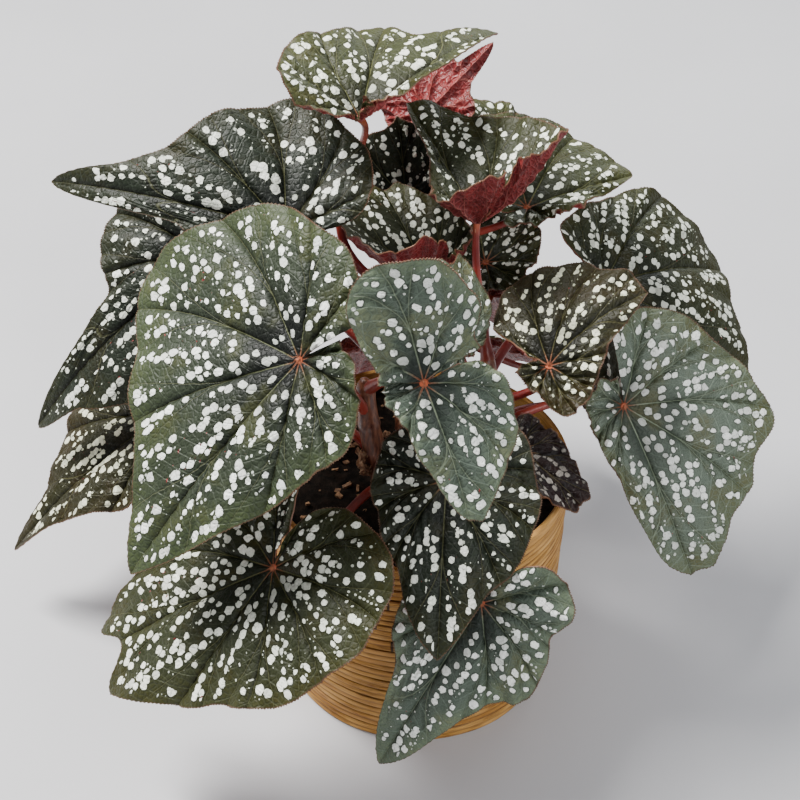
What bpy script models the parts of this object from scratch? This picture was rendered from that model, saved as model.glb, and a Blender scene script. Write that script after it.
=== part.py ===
# Potted begonia in a ribbed wooden basket. Metres, +Z up.
# The origin is the centre of the basket's underside, and -Y is the front.
import math

import bmesh
import bpy
import numpy as np

# Basket
POT_HEIGHT = 0.153
RIM_RADIUS = 0.090
BASE_RADIUS = 0.084
BASKET_WALL = 0.0032
FLOOR_THICKNESS = 0.004
RIM_BAND_HEIGHT = 0.008
RIM_LINE_DEPTH = 0.0007
RIM_LINE_HEIGHT = 0.0004
RIB_COUNT = 15
RIB_DEPTH = 0.0006
POT_SEGMENTS = 32

# Liner and soil
GAP = 0.0003
LINER_WALL = 0.0012
LINER_TOP = 0.1405
SOIL_EDGE_HEIGHT = 0.138
SOIL_CENTRE_HEIGHT = 0.1395
SOIL_CROWN_RADIUS = 0.045
HOLE_SEGMENTS = 16

# Stems
CANE_FOOT_HEIGHT = 0.105
CANE_FOOT_RADIUS = 0.0085
HOLE_TOP_HEIGHT = 0.160
STALK_ROOT_RADIUS = 0.0030
STALK_END_RADIUS = 0.0014
STALK_POINTS = 9
STALK_END_GAP = 0.0012
STALK_REACH = 0.35
STALK_START_LEAN = 0.5
STALK_END_DROP = 0.75
STALK_END_LEAD = 0.35
TUBE_UNIT_RADIUS = 0.001
MERGE_DISTANCE = 0.00001
CANE_ROUNDNESS = 3
STALK_ROUNDNESS = 1

# Leaves
BLADE_THICKNESS = 0.0008
BLADE_ANGLES = 30
BLADE_SHARES = (0.0, 0.38, 0.72, 1.0)
TIP_CROWDING = 0.1
NOTCH_ANGLE = 2.0
EDGE_LOBES = 9
EDGE_LOBE_DEPTH = 0.022
EDGE_WAVE = 0.002
EDGE_WAVES = 7
SCALE_THICKNESS = 0.0007

# Half of a blade's outline: degrees from the midrib, radius as a share of the midrib
HALF_OUTLINE = (
    (0, 1.0),
    (6, 0.89),
    (14, 0.765),
    (26, 0.665),
    (45, 0.605),
    (70, 0.57),
    (95, 0.55),
    (120, 0.535),
    (140, 0.51),
    (156, 0.45),
    (167, 0.34),
    (175, 0.19),
    (180, 0.12),
)

PLAIN_EDGE = ((-180, 1.0), (180, 1.0))

COLLECTION_NAME = "potted_begonia"
CREASE_ANGLE = 40
BLADE_CREASE_ANGLE = 60


def smooth_curve(x, knots):
    """Smooth curve through the knots, read at x. It never overshoots them."""
    xs, ys = np.array(knots, float).T
    grade = np.diff(ys) / np.diff(xs)
    before = np.append(grade[:1], grade)
    after = np.append(grade, grade[-1:])
    turns = before * after <= 0
    slope = np.where(turns, 0.0, 2 * before * after / np.where(turns, 1.0, before + after))
    x = np.clip(x, xs[0], xs[-1])
    i = np.clip(np.searchsorted(xs, x, side="right") - 1, 0, len(xs) - 2)
    step = xs[i + 1] - xs[i]
    t = (x - xs[i]) / step
    start = (1 + 2 * t) * (1 - t) ** 2 * ys[i] + t * (1 - t) ** 2 * step * slope[i]
    end = t * t * (3 - 2 * t) * ys[i + 1] + t * t * (t - 1) * step * slope[i + 1]
    return start + end


def smoothstep(x, low, high):
    t = np.clip((x - low) / (high - low), 0, 1)
    return t * t * (3 - 2 * t)


def four_way(phi, values):
    """Smooth value round the blade, from its values at the tip, left, back and right."""
    tip, left, back, right = values
    mean = (tip + left + back + right) / 4
    along = (tip - back) / 2 * np.cos(phi)
    across = (left - right) / 2 * np.sin(phi)
    twofold = (tip + back - left - right) / 4 * np.cos(2 * phi)
    return mean + along + across + twofold


class Leaf:
    """One blade. at is the stalk joint and tip the point; the midrib bows by bow degrees.

    up and bend are degrees at the left, back and right: how far the blade rises from its
    joint and how far it curls down again. left, right and back widen the blade. sinus is the
    angle of the notch from the tip, round the left side, and lobe is how far the blade still
    reaches beside it. edge says where the outline is fuller or leaner: degrees from the tip,
    positive on the left, and a factor.
    """

    def __init__(self, name, at, tip, roll, stalk, left=1.0, right=1.0, back=(1.0, 1.0), bow=25,
                 up=(6, 6, 6), bend=(30, 30, 30), sinus=180, point=0.0, lobe=0.12, edge=PLAIN_EDGE,
                 green=0):
        self.name = name
        self.at = np.array(at)
        self.tip = np.array(tip)
        self.stalk = stalk
        self.left = left
        self.right = right
        self.back = back
        self.rise = (bow / 2,) + up
        self.droop = (bow,) + bend
        self.sinus = sinus
        self.point = point
        self.lobe = lobe
        self.edge = edge
        self.green = green
        chord = self.tip - self.at
        chord_length = np.linalg.norm(chord)
        half_bow = math.radians(bow) / 2
        self.length = chord_length * half_bow / math.sin(half_bow)
        self.heading = math.atan2(chord[1], chord[0])
        self.pitch = math.asin(chord[2] / chord_length)
        self.roll = math.radians(roll)

    def axes(self):
        """Unit vectors along the midrib, to the blade's left and out of its upper face."""
        ahead = np.array([
            math.cos(self.pitch) * math.cos(self.heading),
            math.cos(self.pitch) * math.sin(self.heading),
            math.sin(self.pitch),
        ])
        level = np.array([-math.sin(self.heading), math.cos(self.heading), 0.0])
        over = np.cross(ahead, level)
        aside = level * math.cos(self.roll) + over * math.sin(self.roll)
        face = over * math.cos(self.roll) - level * math.sin(self.roll)
        return ahead, aside, face

    def radius(self, phi):
        """Distance from the joint to the edge. phi is 0 at the tip and positive on the left."""
        degrees = np.degrees(phi)
        on_left = degrees >= 0
        side = np.where(on_left, degrees / self.sinus, -degrees / (360 - self.sinus)) * 180
        reach = np.maximum(smooth_curve(np.minimum(side, 180), HALF_OUTLINE), self.lobe)
        widen = 1 + (np.where(on_left, self.left, self.right) - 1) * smoothstep(side, 0, 70)
        slim = 1 - 0.2 * self.point * smoothstep(side, 0, 9) * (1 - smoothstep(side, 14, 80))
        ear = 1 + (np.where(on_left, self.back[0], self.back[1]) - 1) * smoothstep(side, 80, 140)
        lobes = 1 + EDGE_LOBE_DEPTH * np.cos(EDGE_LOBES * phi) * smoothstep(side, 4, 30)
        return self.length * reach * widen * slim * ear * lobes * smooth_curve(degrees, self.edge)

    def surface(self, phi, share):
        """Points of the blade's middle surface, with the joint at the origin and the tip at +X."""
        phi, share = np.broadcast_arrays(phi, share)
        reach = share * self.radius(phi)
        curl = np.radians(four_way(phi, self.droop)) * reach / self.length
        slope = np.radians(four_way(phi, self.rise)) - curl / 2
        chord = reach * np.sinc(curl / 2 / np.pi)
        out = chord * np.cos(slope)
        wave = EDGE_WAVE * share ** 2 * np.sin(EDGE_WAVES * phi)
        height = chord * np.sin(slope) + wave
        return np.stack([out * np.cos(phi), out * np.sin(phi), height], axis=-1)


# The canes: points of their centre lines above the soil, and their radii
CANES = {
    "a": ((-0.014, -0.020, 0.142), (-0.020, -0.026, 0.165), (-0.027, -0.026, 0.200),
          (-0.030, -0.020, 0.232)),
    "b": ((0.022, -0.004, 0.142), (0.028, -0.004, 0.160), (0.036, 0.002, 0.195),
          (0.040, 0.010, 0.225)),
    "c": ((-0.004, 0.028, 0.142), (-0.008, 0.045, 0.165), (-0.012, 0.062, 0.200),
          (-0.014, 0.075, 0.228)),
}
CANE_RADII = (0.0085, 0.0075, 0.0065, 0.0050)

# A stalk is its cane, the height of its root, how steeply it leaves the cane, and for some
# the two points that steer its curve
LEAVES = (
    Leaf("leaf_01", (-0.062, -0.064, 0.280), (-0.155, -0.107, 0.166), -15, ("a", 0.210, 0.8),
         left=0.78, right=1.2, bow=20, up=(5, 5, 0), bend=(60, 35, 12), sinus=155, lobe=0.40,
         edge=((-205, 0.6), (-165, 0.64), (-120, 0.89), (-100, 1.05), (-68, 1.18), (-45, 1.0),
               (20, 0.98), (45, 0.88), (62, 0.89), (90, 0.73), (120, 0.6), (155, 0.55)), green=1),
    Leaf("leaf_02", (-0.073, 0.032, 0.294), (-0.212, 0.090, 0.289), -38, ("c", 0.200, 0.8),
         left=0.6, right=0.92, back=(1.0, 0.8), bow=40, up=(-25, 0, 0), bend=(65, 15, 25),
         sinus=190, point=0.9, edge=((-180, 1.0), (0, 1.0), (12, 0.6), (60, 0.6), (190, 0.9)),
         green=1),
    Leaf("leaf_03", (-0.127, 0.093, 0.235), (-0.240, 0.069, 0.120), -38, ("c", 0.165, 0.8),
         left=0.9, right=0.87, bow=40, up=(5, 10, 10), bend=(30, 20, 50), point=1.0,
         edge=((-180, 0.7), (-130, 0.5), (-100, 0.65), (-60, 0.88), (-20, 0.75), (0, 1.0),
               (15, 1.15), (180, 1.0)), green=2),
    Leaf("leaf_04", (-0.156, 0.057, 0.140), (-0.260, 0.039, 0.040), -10, ("a", 0.150, 1.5),
         left=0.6, right=0.8, up=(5, 5, 10), bend=(60, 30, 50), point=0.8,
         edge=((-180, 1.0), (-30, 1.16), (0, 1.0), (180, 1.0)), green=2),
    Leaf("leaf_05", (-0.079, -0.099, 0.165), (-0.181, -0.090, 0.085), -28, ("a", 0.145, 1.2),
         left=0.87, right=0.95, back=(1.1, 1.1), up=(5, 0, 5), bend=(30, 20, 30), sinus=225,
         point=-1.3, edge=((-135, 1.0), (-60, 0.95), (-32, 0.8), (-15, 1.0), (3, 0.85), (12, 0.95),
                           (45, 0.88), (62, 1.0), (105, 1.14), (150, 1.18), (200, 0.92), (225, 1.0)),
         green=2),
    Leaf("leaf_06", (0.014, -0.086, 0.217), (0.009, -0.150, 0.147), 0, ("a", 0.165, 0.8),
         right=0.84, up=(5, 5, 5), bend=(30, 20, 30),
         edge=((-180, 0.9), (-30, 0.87), (-12, 1.0), (60, 0.98), (90, 0.91), (180, 0.95)), green=2),
    Leaf("leaf_07", (0.033, -0.116, 0.155), (-0.023, -0.133, 0.040), -50, ("b", 0.150, 1.2),
         left=0.72, right=0.75, bow=15, up=(5, 5, 5), bend=(30, 20, 30),
         edge=((-180, 1.0), (-45, 0.76), (-18, 0.76), (0, 1.0), (15, 0.88), (32, 0.84), (58, 1.06),
               (75, 0.92), (95, 0.82), (125, 1.04), (180, 1.1)), green=2),
    Leaf("leaf_08", (0.001, -0.125, 0.315), (0.023, -0.158, 0.257), 5,
         ("a", 0.225, 0.8, (0.000, -0.040, 0.262), (0.010, -0.102, 0.304)),
         left=1.1, right=0.7, back=(0.9, 2.6), bow=20, up=(0, 10, -50), bend=(20, -10, 90),
         sinus=100, point=-0.6, lobe=0.3,
         edge=((-260, 0.9), (-210, 0.86), (-165, 1.1), (-148, 1.05), (-128, 0.8), (-95, 1.0),
               (-60, 0.68), (-40, 0.5), (-15, 0.62), (0, 1.0), (15, 1.15), (60, 1.2), (100, 1.0)),
         green=1),
    Leaf("leaf_09", (0.069, -0.037, 0.255), (0.122, -0.012, 0.285), 0, ("b", 0.190, 0.8),
         left=1.1, right=0.7, bow=45, up=(20, 10, -10), bend=(20, 20, 40), sinus=120,
         edge=((-240, 1.0), (-165, 0.65), (-135, 0.78), (-100, 1.2), (-60, 0.87), (-20, 0.76),
               (0, 1.0), (14, 1.4), (45, 1.45), (120, 1.2)), green=2),
    Leaf("leaf_10", (0.119, 0.006, 0.190), (0.164, -0.033, 0.090), 30, ("b", 0.165, 0.8),
         left=1.3, right=0.65, up=(5, 0, 5), bend=(20, 20, 50), sinus=170, point=-0.6, lobe=0.35,
         edge=((-190, 0.7), (-135, 0.56), (-35, 0.53), (-14, 0.74), (0, 1.0), (30, 1.03),
               (45, 0.96), (60, 1.08), (75, 0.92), (120, 0.77), (170, 0.95)), green=0),
    Leaf("leaf_11", (0.113, 0.088, 0.217), (0.215, 0.109, 0.132), 30, ("b", 0.205, 0.8),
         left=0.95, right=0.9, up=(5, 5, 5), bend=(25, 20, 30),
         edge=((-180, 1.0), (0, 1.0), (14, 1.15), (35, 1.45), (60, 1.4), (90, 0.9), (130, 0.7),
               (180, 0.9)), green=2),
    Leaf("leaf_12", (0.063, 0.077, 0.280), (0.129, 0.125, 0.270), 25,
         ("c", 0.224, 0.8, (-0.012, 0.080, 0.262), (0.047, 0.067, 0.262)),
         left=1.3, right=0.8, up=(5, 5, 45), bend=(10, 20, 10),
         edge=((-180, 1.0), (-45, 0.62), (-15, 0.72), (0, 1.0), (14, 1.25), (32, 1.35), (70, 1.1),
               (180, 1.0)), green=0),
    Leaf("leaf_13", (0.032, 0.033, 0.300), (-0.006, 0.117, 0.326), 10, ("b", 0.222, 0.8),
         left=0.7, right=1.2, back=(1.2, 1.2), bow=10, up=(30, 65, 40), bend=(-30, -60, -60),
         point=-0.6, edge=((-180, 0.9), (-150, 0.77), (-120, 0.81), (-95, 1.08), (-60, 1.05),
                           (-40, 0.94), (0, 1.0), (8, 0.6), (35, 0.56), (75, 0.93), (105, 1.1),
                           (140, 1.4), (180, 1.4)), green=1),
    Leaf("leaf_14", (-0.032, 0.066, 0.345), (0.047, 0.157, 0.350), 30,
         ("c", 0.222, 0.8, (-0.083, 0.080, 0.263), (-0.016, 0.123, 0.299)),
         left=0.85, right=0.35, bow=60, up=(0, 40, 105), bend=(20, 10, 0),
         edge=((-180, 0.8), (-60, 0.5), (-25, 0.35), (-3, 0.8), (0, 1.0), (12, 0.85), (30, 1.1),
               (90, 1.0), (150, 0.65)), green=0),
    Leaf("leaf_15", (0.006, 0.173, 0.285), (0.047, 0.195, 0.322), 205,
         ("c", 0.224, 0.8, (-0.010, 0.120, 0.230), None),
         bow=10, up=(-5, -5, -5), bend=(0, 0, 0),
         edge=((-180, 0.85), (-100, 0.95), (-32, 1.15), (-12, 0.8), (0, 1.0), (12, 0.7), (45, 0.85),
               (180, 0.8)), green=1),
    Leaf("leaf_16", (0.052, 0.163, 0.263), (0.016, 0.210, 0.282), 0, ("c", 0.220, 0.8),
         bow=20, up=(10, 10, 10), bend=(0, 0, 0), green=1),
    Leaf("leaf_17", (-0.007, 0.112, 0.262), (-0.012, 0.128, 0.315), 0,
         ("c", 0.190, 0.8, (-0.012, 0.100, 0.200), None),
         left=1.1, right=1.1, bow=20, up=(10, 10, 30), bend=(0, 0, 0),
         edge=((-180, 1.0), (-28, 1.25), (0, 0.92), (28, 1.25), (180, 1.0)), green=2),
    Leaf("leaf_18", (0.006, 0.048, 0.250), (-0.020, 0.105, 0.275), 0, ("c", 0.180, 0.8),
         left=1.5, back=(1.3, 1.0), bow=20, up=(25, 65, 40), bend=(-60, -30, -60), point=-1.0,
         green=2),
    Leaf("leaf_19", (0.024, -0.013, 0.248), (0.017, 0.006, 0.291), 0, ("b", 0.200, 0.8),
         left=0.85, right=0.8, back=(0.8, 1.0), bow=20, up=(10, 10, 10), bend=(0, 0, 0),
         point=-1.5, edge=((-180, 0.3), (-110, 0.4), (-50, 0.85), (0, 1.0), (180, 1.0)), green=0),
    Leaf("leaf_20", (0.040, 0.075, 0.243), (0.058, 0.109, 0.258), 0, ("b", 0.210, 0.8),
         left=0.9, right=1.3, bow=20, up=(10, 10, 10), bend=(0, 0, 0), point=-1.5, green=2),
    Leaf("leaf_21", (0.058, -0.023, 0.182), (0.092, -0.050, 0.165), 0, ("b", 0.150, 0.8),
         left=0.9, right=0.9, bow=20, up=(10, 10, 10), bend=(0, 0, 0), point=-1.0, green=3),
    Leaf("leaf_22", (-0.055, 0.130, 0.172), (-0.105, 0.210, 0.100), 0, ("c", 0.175, 0.8),
         bow=30, bend=(40, 30, 40), green=1),
    Leaf("leaf_23", (0.048, 0.134, 0.176), (0.062, 0.209, 0.088), 0, ("c", 0.190, 0.8),
         left=0.7, right=0.9, back=(0.4, 0.9), bow=30, bend=(40, 30, 40), green=2),
    Leaf("leaf_24", (0.079, 0.104, 0.148), (0.110, 0.172, 0.062), 0, ("c", 0.185, 1.3),
         left=0.85, right=0.65, back=(0.6, 0.6), bow=30, bend=(40, 30, 40), green=1),
    Leaf("leaf_25", (-0.022, 0.112, 0.154), (-0.042, 0.182, 0.064), 0, ("c", 0.165, 1.4),
         left=0.75, right=0.8, back=(0.45, 0.7), bow=30, bend=(40, 30, 40), green=2),
    Leaf("leaf_26", (0.112, 0.055, 0.165), (0.185, 0.090, 0.115), 0, ("b", 0.155, 1.4),
         bow=30, bend=(40, 30, 40), green=1),
)

# Papery scales beside the canes
SCALES = (
    Leaf("stipule_1", (-0.0152, -0.0230, 0.183), (-0.0178, -0.0240, 0.197), 0, None,
         left=0.6, right=0.6, bow=30, up=(0, 0, 0), bend=(0, 0, 0), point=-0.5),
    Leaf("stipule_2", (-0.0305, -0.0291, 0.175), (-0.0331, -0.0301, 0.189), 0, None,
         left=0.6, right=0.6, bow=30, up=(0, 0, 0), bend=(0, 0, 0), point=-0.5),
    Leaf("stipule_3", (0.0230, 0.0005, 0.178), (0.0257, 0.0000, 0.192), 0, None,
         left=0.6, right=0.6, bow=30, up=(0, 0, 0), bend=(0, 0, 0), point=-0.5),
)

LEAF_GREENS = (
    (0.22, 0.30, 0.15, 1.0),
    (0.13, 0.20, 0.13, 1.0),
    (0.07, 0.12, 0.08, 1.0),
    (0.09, 0.05, 0.05, 1.0),
)
BASKET_BROWN = (0.52, 0.31, 0.14, 1.0)
LINER_BLACK = (0.02, 0.02, 0.02, 1.0)
SOIL_BROWN = (0.03, 0.022, 0.016, 1.0)
STEM_RED = (0.30, 0.06, 0.04, 1.0)
SCALE_BROWN = (0.42, 0.27, 0.16, 1.0)


def clear_scene():
    for thing in list(bpy.data.objects):
        bpy.data.objects.remove(thing, do_unlink=True)


def make_collection(name):
    collection = bpy.data.collections.new(name)
    bpy.context.scene.collection.children.link(collection)
    return collection


def make_material(name, colour, roughness):
    material = bpy.data.materials.new(name)
    material.use_nodes = True
    shader = material.node_tree.nodes["Principled BSDF"]
    shader.inputs["Base Color"].default_value = colour
    shader.inputs["Roughness"].default_value = roughness
    shader.inputs["Metallic"].default_value = 0.0
    return material


def mesh_object(name, points, faces, collection, edges=()):
    mesh = bpy.data.meshes.new(name)
    mesh.from_pydata([tuple(map(float, p)) for p in points], edges, faces)
    thing = bpy.data.objects.new(name, mesh)
    collection.objects.link(thing)
    return thing


def smooth(thing, angle=CREASE_ANGLE):
    """Shade smooth, with edges sharper than the angle left crisp."""
    thing.data.shade_smooth()
    thing.data.set_sharp_from_angle(angle=math.radians(angle))


def turned_object(name, profile, collection, steps=POT_SEGMENTS):
    """Turn a profile of (radius, height) points round the Z axis into one closed solid."""
    points = [(radius, 0.0, height) for radius, height in profile]
    edges = [(i, i + 1) for i in range(len(points) - 1)]
    thing = mesh_object(name, points, [], collection, edges)
    screw = thing.modifiers.new("Turn", "SCREW")
    screw.axis = "Z"
    screw.angle = math.tau
    screw.steps = steps
    screw.render_steps = steps
    screw.use_merge_vertices = True
    screw.merge_threshold = 0.0001
    screw.use_smooth_shade = False
    return thing


def wall_radius(height):
    """Outside radius of the basket at a height."""
    return BASE_RADIUS + (RIM_RADIUS - BASE_RADIUS) * height / POT_HEIGHT


def build_basket(parts):
    """Open basket with rounded ribs, a plain rim band and a flat underside."""
    band_foot = POT_HEIGHT - RIM_BAND_HEIGHT
    rib_height = band_foot / RIB_COUNT
    profile = [
        (0.0, FLOOR_THICKNESS),
        (wall_radius(0) - BASKET_WALL, FLOOR_THICKNESS),
        (wall_radius(POT_HEIGHT) - BASKET_WALL, POT_HEIGHT),
        (wall_radius(POT_HEIGHT), POT_HEIGHT),
        (wall_radius(band_foot), band_foot),
        (wall_radius(band_foot) - RIM_LINE_DEPTH, band_foot - RIM_LINE_HEIGHT),
    ]
    for rib in range(RIB_COUNT - 1, -1, -1):
        crest = (rib + 0.5) * rib_height
        foot = rib * rib_height
        profile.append((wall_radius(crest), crest))
        profile.append((wall_radius(foot) - RIB_DEPTH, foot))
    profile.append((0.0, 0.0))
    basket = turned_object("basket", profile, parts)
    smooth(basket)
    basket.data.materials.append(make_material("basket_wood", BASKET_BROWN, 0.6))
    return basket


def build_liner(parts):
    """Thin black cup that stands in the basket and holds the soil."""
    low = FLOOR_THICKNESS + GAP
    outside = BASKET_WALL + GAP
    inside = outside + LINER_WALL
    profile = [
        (0.0, low + LINER_WALL),
        (wall_radius(low) - inside, low + LINER_WALL),
        (wall_radius(LINER_TOP) - inside, LINER_TOP),
        (wall_radius(LINER_TOP) - outside, LINER_TOP),
        (wall_radius(low) - outside - GAP, low),
        (0.0, low),
    ]
    liner = turned_object("liner", profile, parts)
    smooth(liner)
    liner.data.materials.append(make_material("liner_plastic", LINER_BLACK, 0.5))
    return liner


def build_soil(parts, cutters):
    """Soil that fills the liner, a little higher in the middle, with a hole for each cane."""
    low = FLOOR_THICKNESS + GAP + LINER_WALL + GAP
    inset = BASKET_WALL + GAP + LINER_WALL + GAP
    profile = [
        (0.0, SOIL_CENTRE_HEIGHT),
        (SOIL_CROWN_RADIUS, SOIL_CENTRE_HEIGHT),
        (wall_radius(SOIL_EDGE_HEIGHT) - inset, SOIL_EDGE_HEIGHT),
        (wall_radius(low) - inset - GAP, low),
        (0.0, low),
    ]
    soil = turned_object("soil", profile, parts)
    smooth(soil)
    soil.data.materials.append(make_material("soil_mix", SOIL_BROWN, 0.95))
    for key, line in CANES.items():
        hole_height = HOLE_TOP_HEIGHT - CANE_FOOT_HEIGHT + GAP
        bpy.ops.mesh.primitive_cylinder_add(
            vertices=HOLE_SEGMENTS,
            radius=CANE_FOOT_RADIUS + 2 * GAP,
            depth=hole_height,
            location=(line[0][0], line[0][1], HOLE_TOP_HEIGHT - hole_height / 2),
        )
        drill = bpy.context.active_object
        drill.name = "hole_" + key
        for owner in list(drill.users_collection):
            owner.objects.unlink(drill)
        cutters.objects.link(drill)
        drill.hide_render = True
        drill.display_type = "WIRE"
        cut = soil.modifiers.new("Hole " + key, "BOOLEAN")
        cut.operation = "DIFFERENCE"
        cut.object = drill
    return soil


def blade_angles(leaf):
    """Angles round the blade, from the notch on the right round the tip to the notch on the left."""
    t = np.linspace(0, 1, BLADE_ANGLES // 2 + 1)
    half = t - TIP_CROWDING * np.sin(2 * np.pi * t)
    left = half * (leaf.sinus - NOTCH_ANGLE)
    right = half * (360 - leaf.sinus - NOTCH_ANGLE)
    return np.radians(np.concatenate([-right[::-1], left[1:]]))


def build_blade(leaf, thickness, parts):
    """Curved sheet round the stalk joint, thickened on both sides."""
    phi = blade_angles(leaf)
    rings = np.array(BLADE_SHARES[1:])
    grid = leaf.surface(phi[:, None], rings[None, :])
    rows, columns = grid.shape[:2]
    points = np.concatenate([[(0.0, 0.0, 0.0)], grid.reshape(-1, 3)])
    faces = []
    for i in range(rows - 1):
        first = 1 + i * columns
        second = first + columns
        faces.append((0, first, second))
        for j in range(columns - 1):
            near, far = first + j, first + j + 1
            far_next, near_next = second + j + 1, second + j
            if (i + j) % 2:
                faces.append((near, far, far_next))
                faces.append((near, far_next, near_next))
            else:
                faces.append((near, far, near_next))
                faces.append((far, far_next, near_next))
    blade = mesh_object(leaf.name, points, faces, parts)
    blade.location = leaf.at
    blade.rotation_euler = (leaf.roll, -leaf.pitch, leaf.heading)
    solid = blade.modifiers.new("Thickness", "SOLIDIFY")
    solid.thickness = thickness
    solid.offset = 0.0
    smooth(blade, BLADE_CREASE_ANGLE)
    return blade


def build_leaves(parts):
    for leaf in LEAVES:
        blade = build_blade(leaf, BLADE_THICKNESS, parts)
        blade.data.materials.append(make_material(leaf.name + "_green", LEAF_GREENS[leaf.green], 0.45))


def build_scales(parts):
    for scale in SCALES:
        flake = build_blade(scale, SCALE_THICKNESS, parts)
        flake.data.materials.append(make_material(scale.name + "_paper", SCALE_BROWN, 0.8))


def bezier(start, first, second, end, count):
    t = np.linspace(0, 1, count)[:, None]
    near = (1 - t) ** 3 * start + 3 * (1 - t) ** 2 * t * first
    far = 3 * (1 - t) * t ** 2 * second + t ** 3 * end
    return near + far


def cane_point(key, height):
    """Point of a cane's centre line at a height."""
    line = np.array(CANES[key])
    return np.array([np.interp(height, line[:, 2], line[:, axis]) for axis in range(3)])


def stalk_line(leaf):
    """Centre line of a leaf's stalk, from inside its cane to just under the blade."""
    key, root_height, steepness = leaf.stalk[:3]
    steer = leaf.stalk[3:]
    ahead, _, face = leaf.axes()
    root = cane_point(key, root_height)
    end = leaf.at - face * STALK_END_GAP
    span = np.linalg.norm(end - root)
    level = end - root
    level[2] = 0.0
    level /= np.linalg.norm(level)
    first = root + (level * STALK_START_LEAN + np.array([0.0, 0.0, steepness])) * span * STALK_REACH
    second = end - (face * STALK_END_DROP + ahead * STALK_END_LEAD) * span * STALK_REACH
    if steer:
        first = np.array(steer[0])
        if steer[1] is not None:
            second = np.array(steer[1])
    return bezier(root, first, second, end, STALK_POINTS)


def tube_object(name, line, radii, sides_level, collection):
    """Round tube along a line, as a mesh with closed ends."""
    curve = bpy.data.curves.new(name, "CURVE")
    curve.dimensions = "3D"
    curve.bevel_depth = TUBE_UNIT_RADIUS
    curve.bevel_resolution = sides_level
    curve.use_fill_caps = True
    spline = curve.splines.new("POLY")
    spline.points.add(len(line) - 1)
    for point, place, radius in zip(spline.points, line, radii):
        point.co = (place[0], place[1], place[2], 1.0)
        point.radius = radius / curve.bevel_depth
    path = bpy.data.objects.new(name + "_path", curve)
    collection.objects.link(path)
    graph = bpy.context.evaluated_depsgraph_get()
    mesh = bpy.data.meshes.new_from_object(path.evaluated_get(graph))
    bpy.data.objects.remove(path, do_unlink=True)
    bm = bmesh.new()
    bm.from_mesh(mesh)
    bmesh.ops.remove_doubles(bm, verts=bm.verts, dist=MERGE_DISTANCE)
    bmesh.ops.recalc_face_normals(bm, faces=bm.faces)
    bm.to_mesh(mesh)
    bm.free()
    tube = bpy.data.objects.new(name, mesh)
    collection.objects.link(tube)
    return tube


def build_stem(key, parts):
    """Cane set in the soil, with its stalks grown into it."""
    stalks = make_collection("stalks_" + key)
    line = np.array(CANES[key])
    foot = np.array([[line[0][0], line[0][1], CANE_FOOT_HEIGHT]])
    radii = (CANE_FOOT_RADIUS,) + CANE_RADII
    cane = tube_object("stem_" + key, np.concatenate([foot, line]), radii, CANE_ROUNDNESS, parts)
    for leaf in LEAVES:
        if leaf.stalk[0] != key:
            continue
        radii = np.linspace(STALK_ROOT_RADIUS, STALK_END_RADIUS, STALK_POINTS)
        tube_object("stalk_" + leaf.name, stalk_line(leaf), radii, STALK_ROUNDNESS, stalks)
    join = cane.modifiers.new("Stalks", "BOOLEAN")
    join.operation = "UNION"
    join.operand_type = "COLLECTION"
    join.collection = stalks
    bpy.context.view_layer.objects.active = cane
    bpy.ops.object.modifier_apply(modifier=join.name)
    for stalk in list(stalks.objects):
        bpy.data.objects.remove(stalk, do_unlink=True)
    bpy.data.collections.remove(stalks)
    smooth(cane)
    cane.data.materials.append(make_material("stem_" + key + "_red", STEM_RED, 0.35))
    return cane


def main():
    clear_scene()
    parts = make_collection(COLLECTION_NAME)
    cutters = make_collection("cutters")
    build_basket(parts)
    build_liner(parts)
    build_soil(parts, cutters)
    for key in CANES:
        build_stem(key, parts)
    build_leaves(parts)
    build_scales(parts)


main()
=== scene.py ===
# Looks of the potted begonia: fine leaves, stalks, basket, soil, floor, light and camera.
import math
import random
from dataclasses import dataclass
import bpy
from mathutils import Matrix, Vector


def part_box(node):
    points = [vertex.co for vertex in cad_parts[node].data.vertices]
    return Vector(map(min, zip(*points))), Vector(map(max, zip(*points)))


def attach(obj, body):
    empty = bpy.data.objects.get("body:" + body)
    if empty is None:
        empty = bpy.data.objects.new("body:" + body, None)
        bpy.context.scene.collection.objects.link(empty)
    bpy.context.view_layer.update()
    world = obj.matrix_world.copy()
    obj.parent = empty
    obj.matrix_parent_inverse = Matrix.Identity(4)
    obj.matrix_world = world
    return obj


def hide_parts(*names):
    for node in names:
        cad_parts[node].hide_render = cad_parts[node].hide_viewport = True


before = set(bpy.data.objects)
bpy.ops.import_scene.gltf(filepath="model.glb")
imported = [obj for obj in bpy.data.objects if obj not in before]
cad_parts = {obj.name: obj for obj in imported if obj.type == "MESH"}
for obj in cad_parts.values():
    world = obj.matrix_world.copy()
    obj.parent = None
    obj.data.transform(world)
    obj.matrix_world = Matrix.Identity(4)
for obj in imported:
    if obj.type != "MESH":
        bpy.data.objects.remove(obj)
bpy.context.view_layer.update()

from types import SimpleNamespace

import bpy
import numpy as np
from mathutils import Vector

# Camera, fitted to the photograph
IMAGE_SIZE = 800
FOCAL_PIXELS = 1700
SENSOR_WIDTH = 36.0
CAMERA_PITCH = 40
CAMERA_PLACE = (-0.0103, -0.7427, 0.8231)

# Lights: name, place, size, watts and colour. All of them face the middle of the plant
PLANT_MIDDLE = (0.0, 0.0, 0.18)
LIGHTS = (
    ("key_light", (-1.15, 0.55, 2.1), 0.9, 172.0, (1.0, 0.985, 0.96)),
    ("front_light", (1.0, -1.7, 1.6), 1.5, 46.0, (0.97, 0.98, 1.0)),
    ("back_light", (0.9, 1.9, 1.3), 1.6, 32.0, (0.93, 0.97, 1.0)),
)
SKY_COLOUR = (0.82, 0.84, 0.88, 1.0)
SKY_STRENGTH = 0.31
FLOOR_SIZE = 12.0

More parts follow.
